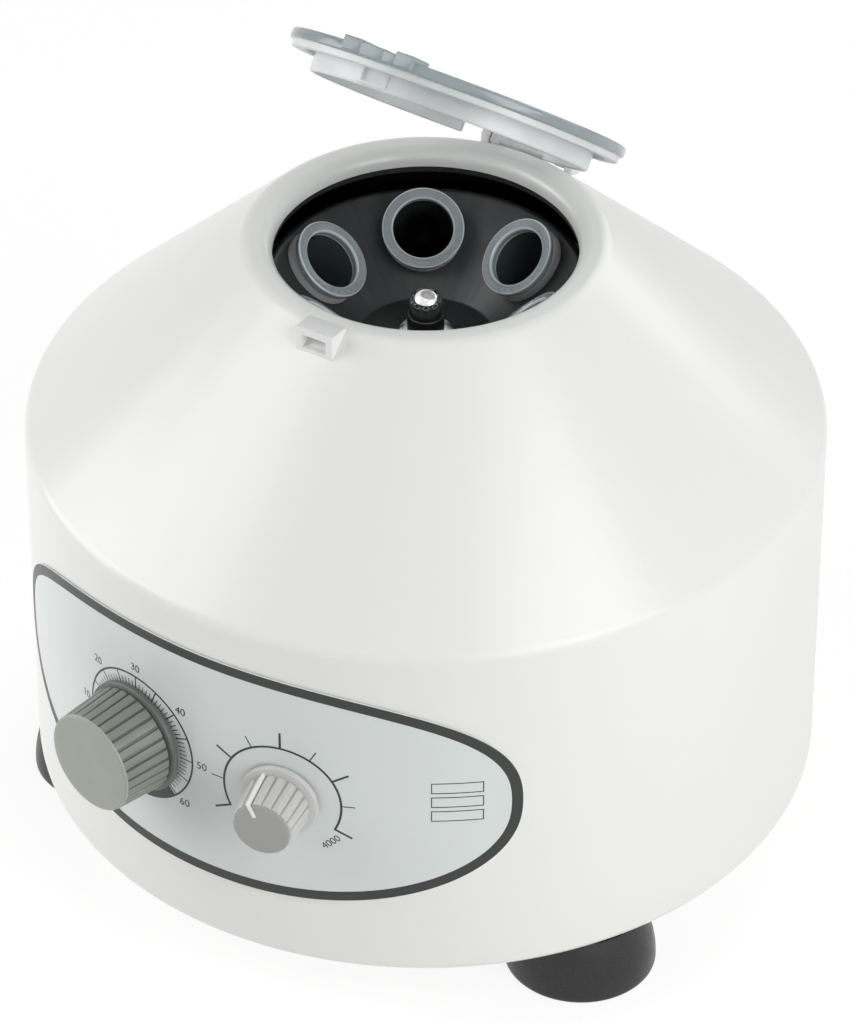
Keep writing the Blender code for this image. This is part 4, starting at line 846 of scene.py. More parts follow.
def outline(p, inset=0.0, points=240):
    """The film's outline, moved inwards by inset."""
    line = []
    for k in range(points):
        t = 2.0 * pi * k / points
        c, s = cos(t), sin(t)
        line.append(Vector((p.half_width * abs(c) ** (2.0 / p.power) * (1 if c >= 0 else -1),
                            p.half_height * abs(s) ** (2.0 / p.power) * (1 if s >= 0 else -1))))
    moved = []
    for k in range(points):
        along = line[(k + 1) % points] - line[k - 1]
        moved.append(line[k] + Vector((-along.y, along.x)).normalized() * inset)
    return [tuple(v) for v in moved]


def arc_line(radius, first, last, points):
    """Points on a dial's circle, angles in degrees clockwise from the top."""
    line = []
    for k in range(points):
        a = radians(first + (last - first) * k / (points - 1))
        line.append((radius * sin(a), radius * cos(a)))
    return line


def ticks(name, inner, outer, width, thickness, number, first, step):
    """Marks repeated round a dial, angles in degrees clockwise from the top."""
    ink = finish("print_ink")
    unit = block(name, (width, outer - inner, thickness), (0, (inner + outer) / 2.0, thickness / 2.0), ink)
    return apply_tree(unit, ring_tree(), count=number, first_angle=-radians(first), step_angle=-radians(step),
                      finish=ink)


def figures(text, size, place, thickness, turn=0.0):
    """Plain figures as a thin raised mesh, centred on a point."""
    data = bpy.data.curves.new("figures", "FONT")
    data.body, data.size, data.extrude = text, size, thickness / 2.0
    data.align_x, data.align_y = "CENTER", "CENTER"
    source = bpy.data.objects.new("figures", data)
    bpy.context.scene.collection.objects.link(source)
    bpy.context.view_layer.update()
    mesh = bpy.data.meshes.new_from_object(source.evaluated_get(bpy.context.evaluated_depsgraph_get()))
    bpy.data.objects.remove(source)
    piece = bpy.data.objects.new("figures_" + text, mesh)
    bpy.context.scene.collection.objects.link(piece)
    mesh.materials.clear()
    mesh.materials.append(finish("print_ink"))
    mesh.transform(Matrix.Translation((*place, thickness / 2.0)) @ Matrix.Rotation(radians(turn), 4, "Z"))
    return piece


class CENTRIFUGE_OT_panel(bpy.types.Operator):
    """Film round the wall, with its printed border, scales and figures"""
    bl_idname = "centrifuge.panel"
    bl_label = "Printed panel"

    def execute(self, context):
        p = settings().panel
        wall = settings().housing.wall_radius
        film = self.film(p)
        wrap(film, wall + GAP, p.middle)
        holes = [rod("hole", CONTROL_BORE, -0.006, 0.006, outward(a, z, wall), segments=48)
                 for a, z in ((p.timer_angle, p.timer_height), (p.speed_angle, p.speed_height))]
        combine(film, holes)
        carry(settle(tidied(film, 40.0)), "base", "panel", "control_panel")
        front, ink = wall + GAP + p.film - 0.00002, 0.00006
        border = wrap(strip("border", outline(p, p.border), outline(p), ink, "print_ink"), front, p.middle)
        marks = [border]
        for part in self.timer_scale(p, ink):
            marks.append(wrap(part, front, p.timer_height, p.timer_angle * wall))
        for part in self.speed_scale(p, ink):
            marks.append(wrap(part, front, p.speed_height, p.speed_angle * wall))
        marks.append(wrap(self.boxes(ink), front, 0.0))
        carry(settle(tidied(joined("panel_print", marks), 40.0)), "base", "panel")
        return {"FINISHED"}

    def film(self, p, columns=128):
        """A slab in upright columns, which bend cleanly round the wall."""
        bm = bmesh.new()
        rows = [[], [], [], []]
        for k in range(columns + 1):
            x = -p.half_width * cos(pi * k / columns)
            y = p.half_height * max(0.0, 1.0 - abs(x / p.half_width) ** p.power) ** (1.0 / p.power)
            for row, (height, z) in zip(rows, ((-y, 0.0), (y, 0.0), (y, p.film), (-y, p.film))):
                row.append(bm.verts.new((x, height, z)))
        for i in range(4):
            a, b = rows[i], rows[(i + 1) % 4]
            for k in range(columns):
                bm.faces.new((a[k], a[k + 1], b[k + 1], b[k]))
        bmesh.ops.remove_doubles(bm, verts=bm.verts, dist=WELD)
        bmesh.ops.holes_fill(bm, edges=[e for e in bm.edges if e.is_boundary])
        face_outwards(bm)
        return new_piece("panel_film", bm, finish("panel_film"))

    def timer_scale(self, p, ink):
        ring = p.timer_ring
        edge = ring + 0.00030
        parts = [strip("ring", arc_line(ring - 0.00035, -138, 138, 121), arc_line(edge, -138, 138, 121),
                       ink, "print_ink", False),
                 strip("rest", arc_line(ring - 0.0058, 137, 223, 61), arc_line(edge, 137, 223, 61),
                       ink, "print_ink", False),
                 ticks("minutes", ring - 0.0050, ring - 0.0022, 0.00026, ink, 61, -135, 4.5),
                 ticks("fives", ring - 0.0050, ring - 0.0002, 0.00040, ink, 13, -135, 22.5)]
        for figure, a in (("10", -90), ("20", -45), ("30", 0), ("40", 45), ("50", 90), ("60", 133)):
            x, y = p.numbers_ring * sin(radians(a)), p.numbers_ring * cos(radians(a))
            parts.append(figures(figure, 0.0040, (x, y), ink))
        return parts

    def speed_scale(self, p, ink):
        ring = p.speed_ring
        return [strip("arc", arc_line(ring - 0.00040, -117, 117, 121),
                      arc_line(ring + 0.00035, -117, 117, 121), ink, "print_ink", False),
                ticks("long_marks", ring - 0.0003, ring + 0.0062, 0.00075, ink, 5, -117, 58.5),
                ticks("short_marks", ring - 0.0003, ring + 0.0044, 0.00040, ink, 4, -87.75, 58.5),
                figures("4000", 0.0036, (0.0163, -0.0144), ink, 42.0)]

    def boxes(self, ink):
        """Three empty frames in a row, repeated by the row tree."""
        corners = [(0.0, 0.0), (0.0165, 0.0), (0.0165, 0.0042), (0.0, 0.0042)]

        def loop(d):
            out = []
            for (x, y), (i, j) in zip(corners, ((1, 1), (-1, 1), (-1, -1), (1, -1))):
                out.append((x + i * d, y + j * d))
            fine = []
            for a, b in zip(out, out[1:] + out[:1]):
                fine += [(a[0] + (b[0] - a[0]) * t / 8.0, a[1] + (b[1] - a[1]) * t / 8.0) for t in range(8)]
            return fine

        unit = strip("rating_boxes", loop(0.00034), loop(0.0), ink, "print_ink")
        unit.data.transform(Matrix.Translation((0.0749, 0.0751, 0.0)))
        return apply_tree(unit, row_tree(), count=3, step=(0.0, -0.0056, 0.0), finish=finish("print_ink"))


# Knobs
def rib_unit(name, pitch_angle, share, low, high, low_radius, high_radius, sink, crown, finish_name):
    """One rib of a grip: a crowned bar that follows the grip's taper."""
    bm = bmesh.new()
    half = pitch_angle * share / 2.0
    across_rib = [(-1.0, -sink), (-1.0, -0.22 * sink), (-0.86, -0.02 * sink), (-0.45, crown * 0.8),
                  (0.0, crown), (0.45, crown * 0.8), (0.86, -0.02 * sink), (1.0, -0.22 * sink), (1.0, -sink)]
    rows = []
    for t in (0.0, 0.02, 0.5, 0.98, 1.0):
        pull = 0.25 * sink if t in (0.0, 1.0) else 0.0
        radius, z = low_radius + (high_radius - low_radius) * t, low + (high - low) * t
        row = []
        for u, d in across_rib:
            off = radius + d - pull
            row.append(bm.verts.new((off * sin(half * u), -off * cos(half * u), z)))
        rows.append(row)
    for a, b in zip(rows, rows[1:]):
        for k in range(len(a)):
            n = (k + 1) % len(a)
            bm.faces.new((a[k], a[n], b[n], b[k]))
    bm.faces.new(rows[0])
    bm.faces.new(rows[-1])
    face_outwards(bm)
    return new_piece(name, bm, finish(finish_name))


def grip(name, number, share, size, sink, crown, finish_name):
    """Ribs repeated round a knob of (radius, face radius, length)."""
    radius, face, length_ = size
    step = 2.0 * pi / number
    unit = rib_unit(name, step, share, 0.0026, length_ - 0.0007, radius, face, sink, crown, finish_name)
    return apply_tree(unit, ring_tree(), count=number, first_angle=pi / number, step_angle=step,
                      finish=finish(finish_name))


def knob_core(name, size, flange, sink, finish_name):
    """The turned body between and behind the ribs, bored for the shaft and its nut."""
    radius, face, length_ = size
    return turned(name, rounded([
        (0.0, length_ - 0.0001), (face - sink, length_ - 0.0001, 0.0004), (radius - sink, 0.0024),
        (flange, 0.0019, 0.0005), (flange, 0.0, 0.0004), (0.0079, 0.0), (0.0079, 0.0032), (0.0033, 0.0032),
        (0.0033, length_ - 0.004), (0.0, length_ - 0.004)], 4), finish(finish_name), 120, False)


class CENTRIFUGE_OT_knobs(bpy.types.Operator):
    """Timer knob and speed knob with their ribs, faces and pointer"""
    bl_idname = "centrifuge.knobs"
    bl_label = "Knobs"

    def execute(self, context):
        p, k = settings().panel, settings().knobs
        back = settings().housing.wall_radius + GAP + p.film + 0.0004
        size = (k.timer_radius, k.timer_face, k.timer_length)
        # The core shows in the grooves and as the flange, in a much darker copy of the timer's grey: painted
        # shade.
        parts = [knob_core("timer_core", size, k.timer_flange, 0.0008, "timer_dark"),
                 # The ribs take a darker copy of the timer's grey: painted shade on their sides.
                 grip("timer_ribs", k.timer_ribs, 0.80, size, 0.0014, 0.00006, "timer_side"),
                 self.cap("timer_cap", k.timer_face, k.timer_length, 0.0010, "timer_grey")]
        timer = joined("timer_grip", parts)
        carry(settle(tidied(timer, 38.0), outward(p.timer_angle, p.timer_height, back)), "timer", "knob_grey",
              "timer_knob")
        size = (k.speed_radius, k.speed_face, k.speed_length)
        parts = [knob_core("speed_core", size, k.speed_flange, 0.0007, "speed_pale"),
                 grip("speed_grip_ribs", k.speed_ribs, 0.84, size, 0.0012, 0.00022, "speed_pale"),
                 self.cap("speed_cap_disc", k.speed_face - 0.0004, k.speed_length, 0.0008, "speed_cap"),
                 *self.pointer(k)]
        speed = joined("speed_grip", parts)
        carry(settle(tidied(speed, 38.0), outward(p.speed_angle, p.speed_height, back)), "speed", "knob_pale",
              "speed_knob")
        return {"FINISHED"}

    def cap(self, name, radius, top, depth, finish_name):
        """Face disc with an eased rim and a slight hollow."""
        return turned(name, [(0.0, top - 0.00004), (radius * 0.6, top - 0.00003), (radius - 0.0010, top),
                             (radius - 0.0004, top - 0.00006), (radius - 0.0001, top - 0.0003),
                             (radius, top - depth), (0.0, top - depth)], finish(finish_name), 120, False)

    def pointer(self, k):
        """White line from the flange up the grip and on to the face."""
        radius, face, top = k.speed_radius, k.speed_face, k.speed_length
        turn = Matrix.Rotation(-k.pointer, 4, "Z")
        lean = atan2(radius - face, top - 0.0026)
        white, width = finish("pointer_white"), 0.0013
        side = block("pointer_side", (width, 0.0011, top - 0.0016), (0, 0, 0), white, 0.00025,
                     turn @ Matrix.Translation((0, (radius + face) / 2.0 + 0.0001, (top + 0.0018) / 2.0))
                     @ Matrix.Rotation(lean, 4, "X"))
        line = block("pointer_face", (width, face * 0.5, 0.0004), (0, face * 0.75, top), white, 0.00015, turn)
        return side, line


# Lid
class CENTRIFUGE_OT_lid(bpy.types.Operator):
    """Clear lid, open on its hinge, with skirt, land, latch tab, hinge ears and pin"""
    bl_idname = "centrifuge.lid"
    bl_label = "Lid"

    def execute(self, context):
        s, h = settings().lid, settings().housing
        reach = hinge_at.y - axis_y
        top = h.lip_height + GAP + s.land_height + s.flange - (hinge_at.z - lower_edge)
        under, skirt = top - s.flange, s.skirt_radius
        low, land_in = under - s.skirt_depth, s.land_radius - s.land_width
        lid = turned("lid_cover", [(0.0, top)] + rounded([
            (0.010, top), (s.radius, top, 0.0012), (s.radius, under, 0.0008), (s.land_radius, under),
            (s.land_radius, under - s.land_height, 0.0006), (land_in, under - s.land_height, 0.0006),
            (land_in, under),
            (skirt, under), (skirt, low, 0.0009), (skirt - s.skirt_wall, low, 0.0006),
            (skirt - s.skirt_wall, top - s.top, 0.0008), (0.010, top - s.top)], 5) + [(0.0, top - s.top)],
            finish("lid_skirt"), s.steps, False)
        lid.data.transform(Matrix.Translation((0, -reach, 0)))
        extras = [plate("ear", self.ear(s, top, under, reach), s.ear_width, None, 0.0004,
                        side_on(x * s.ear_middle)) for x in (-1.0, 1.0)]
        extras.append(rod("bar", s.bar_radius, -s.ear_middle, s.ear_middle, across(), segments=32))
        combine(lid, extras + self.latch(s, top, under, reach), "UNION")
        near = sqrt((skirt - s.skirt_wall) ** 2 - s.notch ** 2) - 0.001
        notch = block("notch", (2.0 * s.notch, skirt + GAP - near, s.skirt_depth + 0.001 - GAP),
                      (0, (skirt + GAP + near) / 2.0 - reach, (low - 0.001 + under - GAP) / 2.0))
        pocket = block("pocket", (0.0076, 0.0030, s.skirt_depth - 0.0034),
                       (-0.0037, -skirt - 0.0012, under - s.skirt_depth / 2.0 - 0.0002), None, 0.0,
                       self.turn(s, reach))
        combine(lid, [notch, pocket, rod("bore", PIN_BORE, -BORE_HALF, BORE_HALF, across(), segments=32)])
        tidied(lid, 32.0)
        self.paint(lid, s, under, reach)
        opened = (Matrix.Translation((0, reach, hinge_at.z - lower_edge))
                  @ Matrix.Rotation(-LID_OPEN, 4, "X"))
        carry(settle(lid, opened), "lid", "lid", "lid")
        half = s.ear_middle + s.ear_width / 2.0 + 0.0004 + 0.003 + 0.0008
        pin = turned("hinge_pin_turned", [(0.0, -half), (0.0008, -half), (0.0011, -half + 0.0003),
                                          (0.0011, half - 0.0003), (0.0008, half), (0.0, half)],
                     finish("turned_steel"), 48, False)
        carry(settle(pin, across(0, reach, hinge_at.z - lower_edge)), "base", "fixing", "hinge_pin")
        return {"FINISHED"}

    def turn(self, s, reach):
        """The latch tab's frame: the lid's middle, turned with the tab."""
        return Matrix.Translation((0, -reach, 0)) @ Matrix.Rotation(s.tab_turn, 4, "Z")

    def latch(self, s, top, under, reach):
        """Raised tab at the front: two blocks, a bridge and a step, and the pocket's frame on the skirt."""
        front, half, parts = -s.radius, s.tab_width / 2.0, []
        for first, last, rise, ease in ((-1.0, -0.48, 0.00155, 0.0005), (-0.50, 0.16, 0.0009, 0.0004),
                                        (0.14, 0.50, 0.0004, 0.0003), (0.48, 1.0, 0.00155, 0.0005)):
            tall = s.flange - 0.0006 + rise
            parts.append(block("tab", ((last - first) * half, 0.0106, tall),
                               ((first + last) / 2.0 * half, front + 0.0049 + (0.0016 - rise) * 0.4,
                                top + rise - tall / 2.0), None, ease, self.turn(s, reach)))
        parts.append(block("frame", (0.0104, 0.0030, s.skirt_depth - 0.0008),
                           (-0.0037, -s.skirt_radius + 0.0006, under - s.skirt_depth / 2.0 + 0.0002),
                           None, 0.0004, self.turn(s, reach)))
        return parts

    def paint(self, lid, s, under, reach):
        """Bluish flange, paler land and skirt, and clear ears and bar."""
        lid.data.materials.clear()
        for name in ("lid_flange", "lid_skirt", "lid_clear"):
            lid.data.materials.append(finish(name))
        for face in lid.data.polygons:
            c = face.center
            off = sqrt(c.x ** 2 + (c.y + reach) ** 2)
            behind = c.y > -reach
            on_ears = behind and off > s.radius + 0.0002
            on_bar = behind and abs(c.x) < s.notch and off > s.skirt_radius - 0.0002 and c.z < under - 0.0002
            inside = off < s.skirt_radius - s.skirt_wall and c.z < under + 0.0014
            if on_ears or on_bar:
                face.material_index = 2
            else:
                face.material_index = 1 if c.z < under - 0.0001 or inside else 0

    def ear(self, s, top, under, reach):
        """Side view of a hinge ear: an eye round the pin and an arm forwards to the flange."""
        eye = s.eye_radius
        front = -(reach - s.radius + 0.0024)
        return [(eye * cos(radians(a)), eye * sin(radians(a))) for a in range(215, 381, 15)] + [
            (eye, 0.6 * under), (eye - 0.0012, top - 0.0008), (front, top - 0.0004), (front, under + 0.0006),
            (front + 0.0042, under - 0.0004), (-0.62 * eye, 0.70 * eye)]


# Rotor
def sleeve_place(index):
    """A frame on a sleeve's rim whose Z runs out of the sleeve, up and inwards."""
    r = settings().rotor
    return (Matrix.Rotation(r.rest_turn + 2.0 * pi * index / r.sleeves, 4, "Z")
            @ Matrix.Translation((r.rim_radius, 0.0, r.rim_height)) @ Matrix.Rotation(-r.dish_slope, 4, "Y"))


class CENTRIFUGE_OT_rotor(bpy.types.Operator):
    """Dark angle rotor with its sockets, seats and webs, and the fixings on its spindle"""
    bl_idname = "centrifuge.rotor"
    bl_label = "Rotor"

    def execute(self, context):
        r, dark = settings().rotor, finish("rotor_satin")
        c, s = cos(r.dish_slope), sin(r.dish_slope)
        ridge_z = r.dish_height + (r.ridge - r.dish_inner) * s / c
        bore, low = SPINDLE_BORE, 0.118
        head = turned("rotor_machined", rounded([
            (bore, r.dish_height + 0.002), (0.0095, r.dish_height + 0.002, 0.0005),
            (0.0095, r.dish_height, 0.0006), (r.dish_inner, r.dish_height, 0.0012),
            (r.ridge, ridge_z, 0.0016),
            (r.ridge + r.dish_wall * s, ridge_z - r.dish_wall * c, 0.0016),
            (r.dish_inner + r.dish_wall * s, r.dish_height - r.dish_wall * c),
            (0.017, r.dish_height - 1.4 * r.dish_wall, 0.003),
            (0.013, r.dish_height - 2.6 * r.dish_wall, 0.002), (0.013, low, 0.0006), (bore, low)], 5),
            dark, 180)
        sunk = -self.seat_depth(r) - 0.4 * r.dish_wall
        places = [sleeve_place(k) for k in range(r.sleeves)]
        combine(head, [rod("socket", 0.015, -0.036, sunk, m, segments=72, ease=0.0006) for m in places],
                "UNION")
        combine(head, [rod("boss", r.seat_radius, sunk, -r.flange_height - GAP, m, segments=96, ease=0.0004)
                       for m in places], "UNION")
        combine(head, [plate("web", self.web(r, ridge_z), 0.003, None, 0.0005,
                             Matrix.Rotation(r.rest_turn + 2.0 * pi * (k + 0.5) / r.sleeves, 4, "Z")
                             @ Matrix.Rotation(pi / 2.0, 4, "X")) for k in range(r.sleeves)], "UNION")
        tube_bore = r.bore + r.sleeve_wall + GAP
        combine(head, [rod("bore", tube_bore, -0.046, 0.010, m, segments=72) for m in places])
        carry(settle(tidied(head, 30.0)), "rotor", "rotor", "rotor_head")
        self.fixings(r)
        return {"FINISHED"}

    def seat_depth(self, r):
        out, up = r.rim_radius - r.dish_inner, r.rim_height - r.dish_height
        return out * -sin(r.dish_slope) + up * cos(r.dish_slope)

    def web(self, r, ridge_z):
        c, s, half = cos(r.dish_slope), sin(r.dish_slope), r.dish_wall / 2.0
        inner = (r.dish_inner + half * s, r.dish_height - half * c)
        outer = (r.ridge - 0.001 + half * s, ridge_z - half * c - 0.0008)
        return [(0.0078, 0.122), (0.014, 0.122), (outer[0] - 0.0005, outer[1] - 0.005), outer, inner,
                (0.0078, inner[1])]

    def fixings(self, r):
        z = r.dish_height + 0.002 + GAP
        washer = turned("washer_bright", rounded([
            (SPINDLE_BORE, z), (0.0088, z, 0.0002), (0.0088, z + 0.0012, 0.0004),
            (SPINDLE_BORE, z + 0.0012, 0.0002)], 3), finish("bright_steel"), 96)
        carry(settle(washer), "rotor", "bright", "rotor_washer")
        z += 0.0012 + GAP
        collar = turned("collar_black", rounded([
            (SPINDLE_BORE, z), (0.0060, z, 0.0003), (0.0060, z + 0.0062, 0.0006),
            (SPINDLE_BORE, z + 0.0062)], 4), finish("fuse_black"), 72)
        carry(settle(collar), "rotor", "black", "clamp_collar")
        z += 0.0062 + GAP
        nut_h, dome, rise = 0.0034, 0.0054, 0.0050
        bore_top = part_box("motor_shaft")[1].z - lower_edge + GAP
        crown = [(dome * sin(radians(a)), z + nut_h + rise * cos(radians(a))) for a in range(0, 91, 5)]
        below = [(dome, z + 0.0002), (dome - 0.0002, z), (SPINDLE_BORE, z), (SPINDLE_BORE, bore_top),
                 (0.0, bore_top)]
        cap = turned("dome_cap", crown + below, finish("bright_steel"), 96, False)
        hexagon = rod("hexagon", 0.0053, z + 0.0001, z + nut_h, segments=6, ease=0.00025)
        combine(hexagon, [rod("through", 0.0038, z - 0.01, z + 0.01)])
        combine(cap, [hexagon], "UNION")
        cap.data.materials.clear()
        cap.data.materials.append(finish("bright_steel"))
        carry(settle(tidied(cap, 30.0)), "rotor", "bright", "dome_nut")


class CENTRIFUGE_OT_sleeves(bpy.types.Operator):
    """Milky tube sleeves with grooved flanges and a ring of moulded dots"""
    bl_idname = "centrifuge.sleeves"
    bl_label = "Tube sleeves"

    def execute(self, context):
        r, milky, dots = settings().rotor, finish("sleeve_milky"), 26
        for k in range(r.sleeves):
            tube = turned("sleeve_%d_moulded" % (k + 1), self.profile(r), milky, 112, False)
            dot = rod("sleeve_%d_dots" % (k + 1), 0.00032, -0.0001, 0.00012,
                      Matrix.Translation((r.flange_radius - 0.0016, 0, 0)), milky, 10, 0.00008)
            apply_tree(dot, ring_tree(), count=dots, first_angle=0.0, step_angle=2.0 * pi / dots,
                       finish=milky)
            combine(tube, [dot], "UNION")
            tidied(tube, 35.0)
            tube.data.materials.clear()
            for name in ("sleeve_milky", "sleeve_tube", "sleeve_edge"):
                tube.data.materials.append(finish(name))
            # Faces on the rim's edges, and a thin ring in the bore at the flange's depth, take the lighter
            # copy of the plastic: painted highlight.
            for face in tube.data.polygons:
                off, z = sqrt(face.center.x ** 2 + face.center.y ** 2), face.center.z
                rim = z > -0.0007 and (off > r.flange_radius - 0.0005 or off < r.bore + 0.0004)
                if rim or abs(z + r.flange_height + 0.0002) < 0.00045 and off < r.bore + 0.0002:
                    face.material_index = 2
                else:
                    # The tube below the flange takes the darker copy of the plastic: painted shade in the
                    # bore.
                    face.material_index = 1 if z < -r.flange_height - 0.00005 else 0
            carry(settle(tube, sleeve_place(k)), "sleeve_%d" % (k + 1), "sleeve", "tube_sleeve_%d" % (k + 1))
        return {"FINISHED"}

    def profile(self, r):
        ri, ro, flange, high = r.bore, r.bore + r.sleeve_wall, r.flange_radius, r.flange_height
        straight = -(r.sleeve_length - ro)
        inside = [(ri * sin(radians(a)), straight - ri * cos(radians(a))) for a in range(0, 90, 9)]
        outside = [(ro * cos(radians(a)), straight - ro * sin(radians(a))) for a in range(9, 90, 9)]
        mouth = [(ri, straight), (ri, -high - 0.0006), (ri + 0.00005, -high - 0.0002), (ri, -high),
                 (ri, -0.0009), (ri + 0.00015, -0.0004), (ri + 0.0005, -0.00005), (ri + 0.0008, 0.0),
                 (ri + 0.0011, -0.0001), (ri + 0.0013, -0.00025), (flange - 0.0009, -0.00025),
                 (flange - 0.0007, -0.00005), (flange - 0.0004, 0.0), (flange - 0.0001, -0.0002),
                 (flange, -0.0006), (flange, -high + 0.0004), (flange - 0.0003, -high), (ro, -high),
                 (ro, straight)]
        return inside + mouth + outside + [(0.0, straight - ro)]


# Chamber, feet, rear fittings and fasteners
class CENTRIFUGE_OT_chamber(bpy.types.Operator):
    """Black chamber round the rotor: cover, bowl and the nuts on its three studs"""
    bl_idname = "centrifuge.chamber"
    bl_label = "Chamber"

    def execute(self, context):
        h, black = settings().housing, finish("chamber_black")
        slope = cone_slope(h)
        top, neck, wide, t = h.lip_height - h.collar_depth - GAP, 0.0536, 0.1087, 0.0015
        drop, joint, flange = t / cos(slope), 0.1280, 0.115
        low = joint + GAP
        foot = top - (wide - neck) * tan(slope)
        inner = wide - t
        cover = turned("chamber_cover_moulded", rounded([
            (0.0492, top), (neck, top), (wide, foot, 0.002), (wide, low + t, 0.0008), (flange, low + t),
            (flange, low), (inner, low), (inner, foot + t * tan(slope) - drop, 0.001),
            (neck + (0.0017 - drop) / tan(slope), top - 0.0017), (0.0492, top - 0.0017)], 4), black, 144)
        carry(settle(cover), "base", "black", "chamber_cover")
        floor = 0.0878
        bowl = turned("chamber_bowl_moulded", rounded([
            (inner, joint), (flange, joint), (flange, joint - t), (wide, joint - t), (wide, floor, 0.008),
            (0.0145, floor), (0.0145, floor + t), (inner, floor + t, 0.0065)], 6), black, 144)
        combine(bowl, [rod("stud_hole", 0.0023, floor - 0.005, floor + 0.01, spot(120.0 * k, STUD_RING),
                           segments=32) for k in range(3)])
        carry(settle(tidied(bowl)), "base", "black", "chamber_bowl")
        zinc, nut_r = finish("zinc_steel"), 0.0035
        nut = plate("stud_nuts", [(nut_r * cos(k * pi / 3.0), nut_r * sin(k * pi / 3.0)) for k in range(6)],
                    0.0024, zinc, 0.0003)
        combine(nut, [rod("through", 0.0021, -0.01, 0.01, segments=32)])
        nut.data.transform(Matrix.Translation((0, -STUD_RING, floor + t + 0.0013)))
        apply_tree(nut, ring_tree(), count=3, first_angle=0.0, step_angle=2.0 * pi / 3.0, finish=zinc)
        carry(settle(tidied(nut)), "base", "fixing")
        return {"FINISHED"}


class CENTRIFUGE_OT_feet(bpy.types.Operator):
    """Flared black feet, and the screws under the base plate"""
    bl_idname = "centrifuge.feet"
    bl_label = "Feet"

    def execute(self, context):
        f = settings().feet
        high, low_r, top_r = f.height, f.lower_radius, f.upper_radius
        around = f.spread * 180.0 / pi
        for name, degrees in (("foot_front_left", -around), ("foot_front_right", around),
                              ("foot_rear", 180.0)):
            curve = []
            for k in range(19):
                t = k / 18.0
                curve.append((top_r + (low_r - top_r) * sin(0.5 * pi * t), -0.0008 - (high - 0.0021) * t))
            edge = [(0.0028, -GAP), (top_r - 0.0005, -GAP), (top_r - 0.0001, -0.0005)]
            sole = [(low_r - 0.0001, -high + 0.0007), (low_r - 0.0005, -high + 0.0002),
                    (low_r - 0.0013, -high), (0.0200, -high), (0.0196, -high + 0.0006),
                    (0.0186, -high + 0.0006), (0.0182, -high), (0.0069, -high), (0.0065, -high + 0.0004),
                    (0.0065, -high + 0.012), (0.0028, -high + 0.012)]
            foot = turned(name + "_moulded", edge + curve + sole, finish("foot_rubber"), 144)
            carry(settle(foot, spot(degrees, f.ring)), "base", "foot", name)
        zinc = finish("zinc_steel")
        screw = turned("base_screws", [(0.0, -0.0019), (0.0016, -0.0018), (0.0026, -0.0012),
                                       (0.0029, -0.0004), (0.0029, -0.00002), (0.0, -0.00002)],
                       zinc, 40, False)
        sizes = ((0.0030, 0.0006, 0.0016), (0.0006, 0.0030, 0.0016))
        combine(screw, [block("slot", size, (0, 0, -0.0018), None) for size in sizes])
        screw.data.transform(spot(30.0, 0.1155))
        apply_tree(screw, ring_tree(), count=6, first_angle=0.0, step_angle=pi / 3.0, finish=zinc)
        carry(settle(tidied(screw)), "base", "fixing")
        return {"FINISHED"}


class CENTRIFUGE_OT_rear(bpy.types.Operator):
    """Cord gland and fuse holder at the rear"""
    bl_idname = "centrifuge.rear_fittings"
    bl_label = "Rear fittings"

    def execute(self, context):
        wall = settings().housing.wall_radius
        inner, z = wall - settings().housing.wall, REAR_HEIGHT
        near, far = inner - GAP - 0.0006, wall + GAP
        tail = []
        for k in range(4):
            start, r = far + 0.0034 + 0.0015 * k, 0.0064 - 0.0005 * k
            tail += [(r, start), (r - 0.0001, start + 0.0008), (r - 0.0007, start + 0.0010),
                     (r - 0.0008, start + 0.0014)]
        gland = turned("cord_gland_moulded", rounded([
            (0.0036, near - 0.004), (0.0085, near - 0.004, 0.0006), (0.0085, near - 0.0005),
            (0.0065, near - 0.0005), (0.0065, far + 0.0005), (0.0085, far + 0.0005, 0.0005),
            (0.0085, far + 0.0030, 0.0008)], 4)
            + tail + [(0.0044, wall + 0.0100), (0.0036, wall + 0.0100)], finish("damper_rubber"), 72)
        carry(settle(gland, outward(GLAND_ANGLE, z)), "base", "rubber", "cord_gland")
        cap, ribs, black = 0.0080, 24, finish("fuse_black")
        groove = ((0.020, 0.0016, 0.003), (0, 0, wall + 0.009))
        fuse = turned("fuse_holder_moulded", rounded([
            (0.0, wall + 0.009), (cap - 0.0012, wall + 0.009, 0.0006), (cap - 0.0008, far + 0.0022, 0.0003),
            (cap, far + 0.0018, 0.0004), (cap, far + 0.0005), (0.0062, far + 0.0005), (0.0062, wall - 0.030),
            (0.0, wall - 0.030)], 4), black, 96, False)
        combine(fuse, [block("slot", *groove)])
        rib = rib_unit("fuse_ribs", 2.0 * pi / ribs, 0.55, far + 0.0026, wall + 0.0084, cap - 0.0009,
                       cap - 0.0011, 0.0006, 0.00035, "fuse_black")
        apply_tree(rib, ring_tree(), count=ribs, first_angle=pi / ribs, step_angle=2.0 * pi / ribs,
                   finish=black)
        combine(rib, [block("slot", *groove)])
        whole = joined("fuse_holder_ribbed", [fuse, rib])
        carry(settle(tidied(whole), outward(FUSE_ANGLE, z)), "base", "black", "fuse_holder")
        return {"FINISHED"}


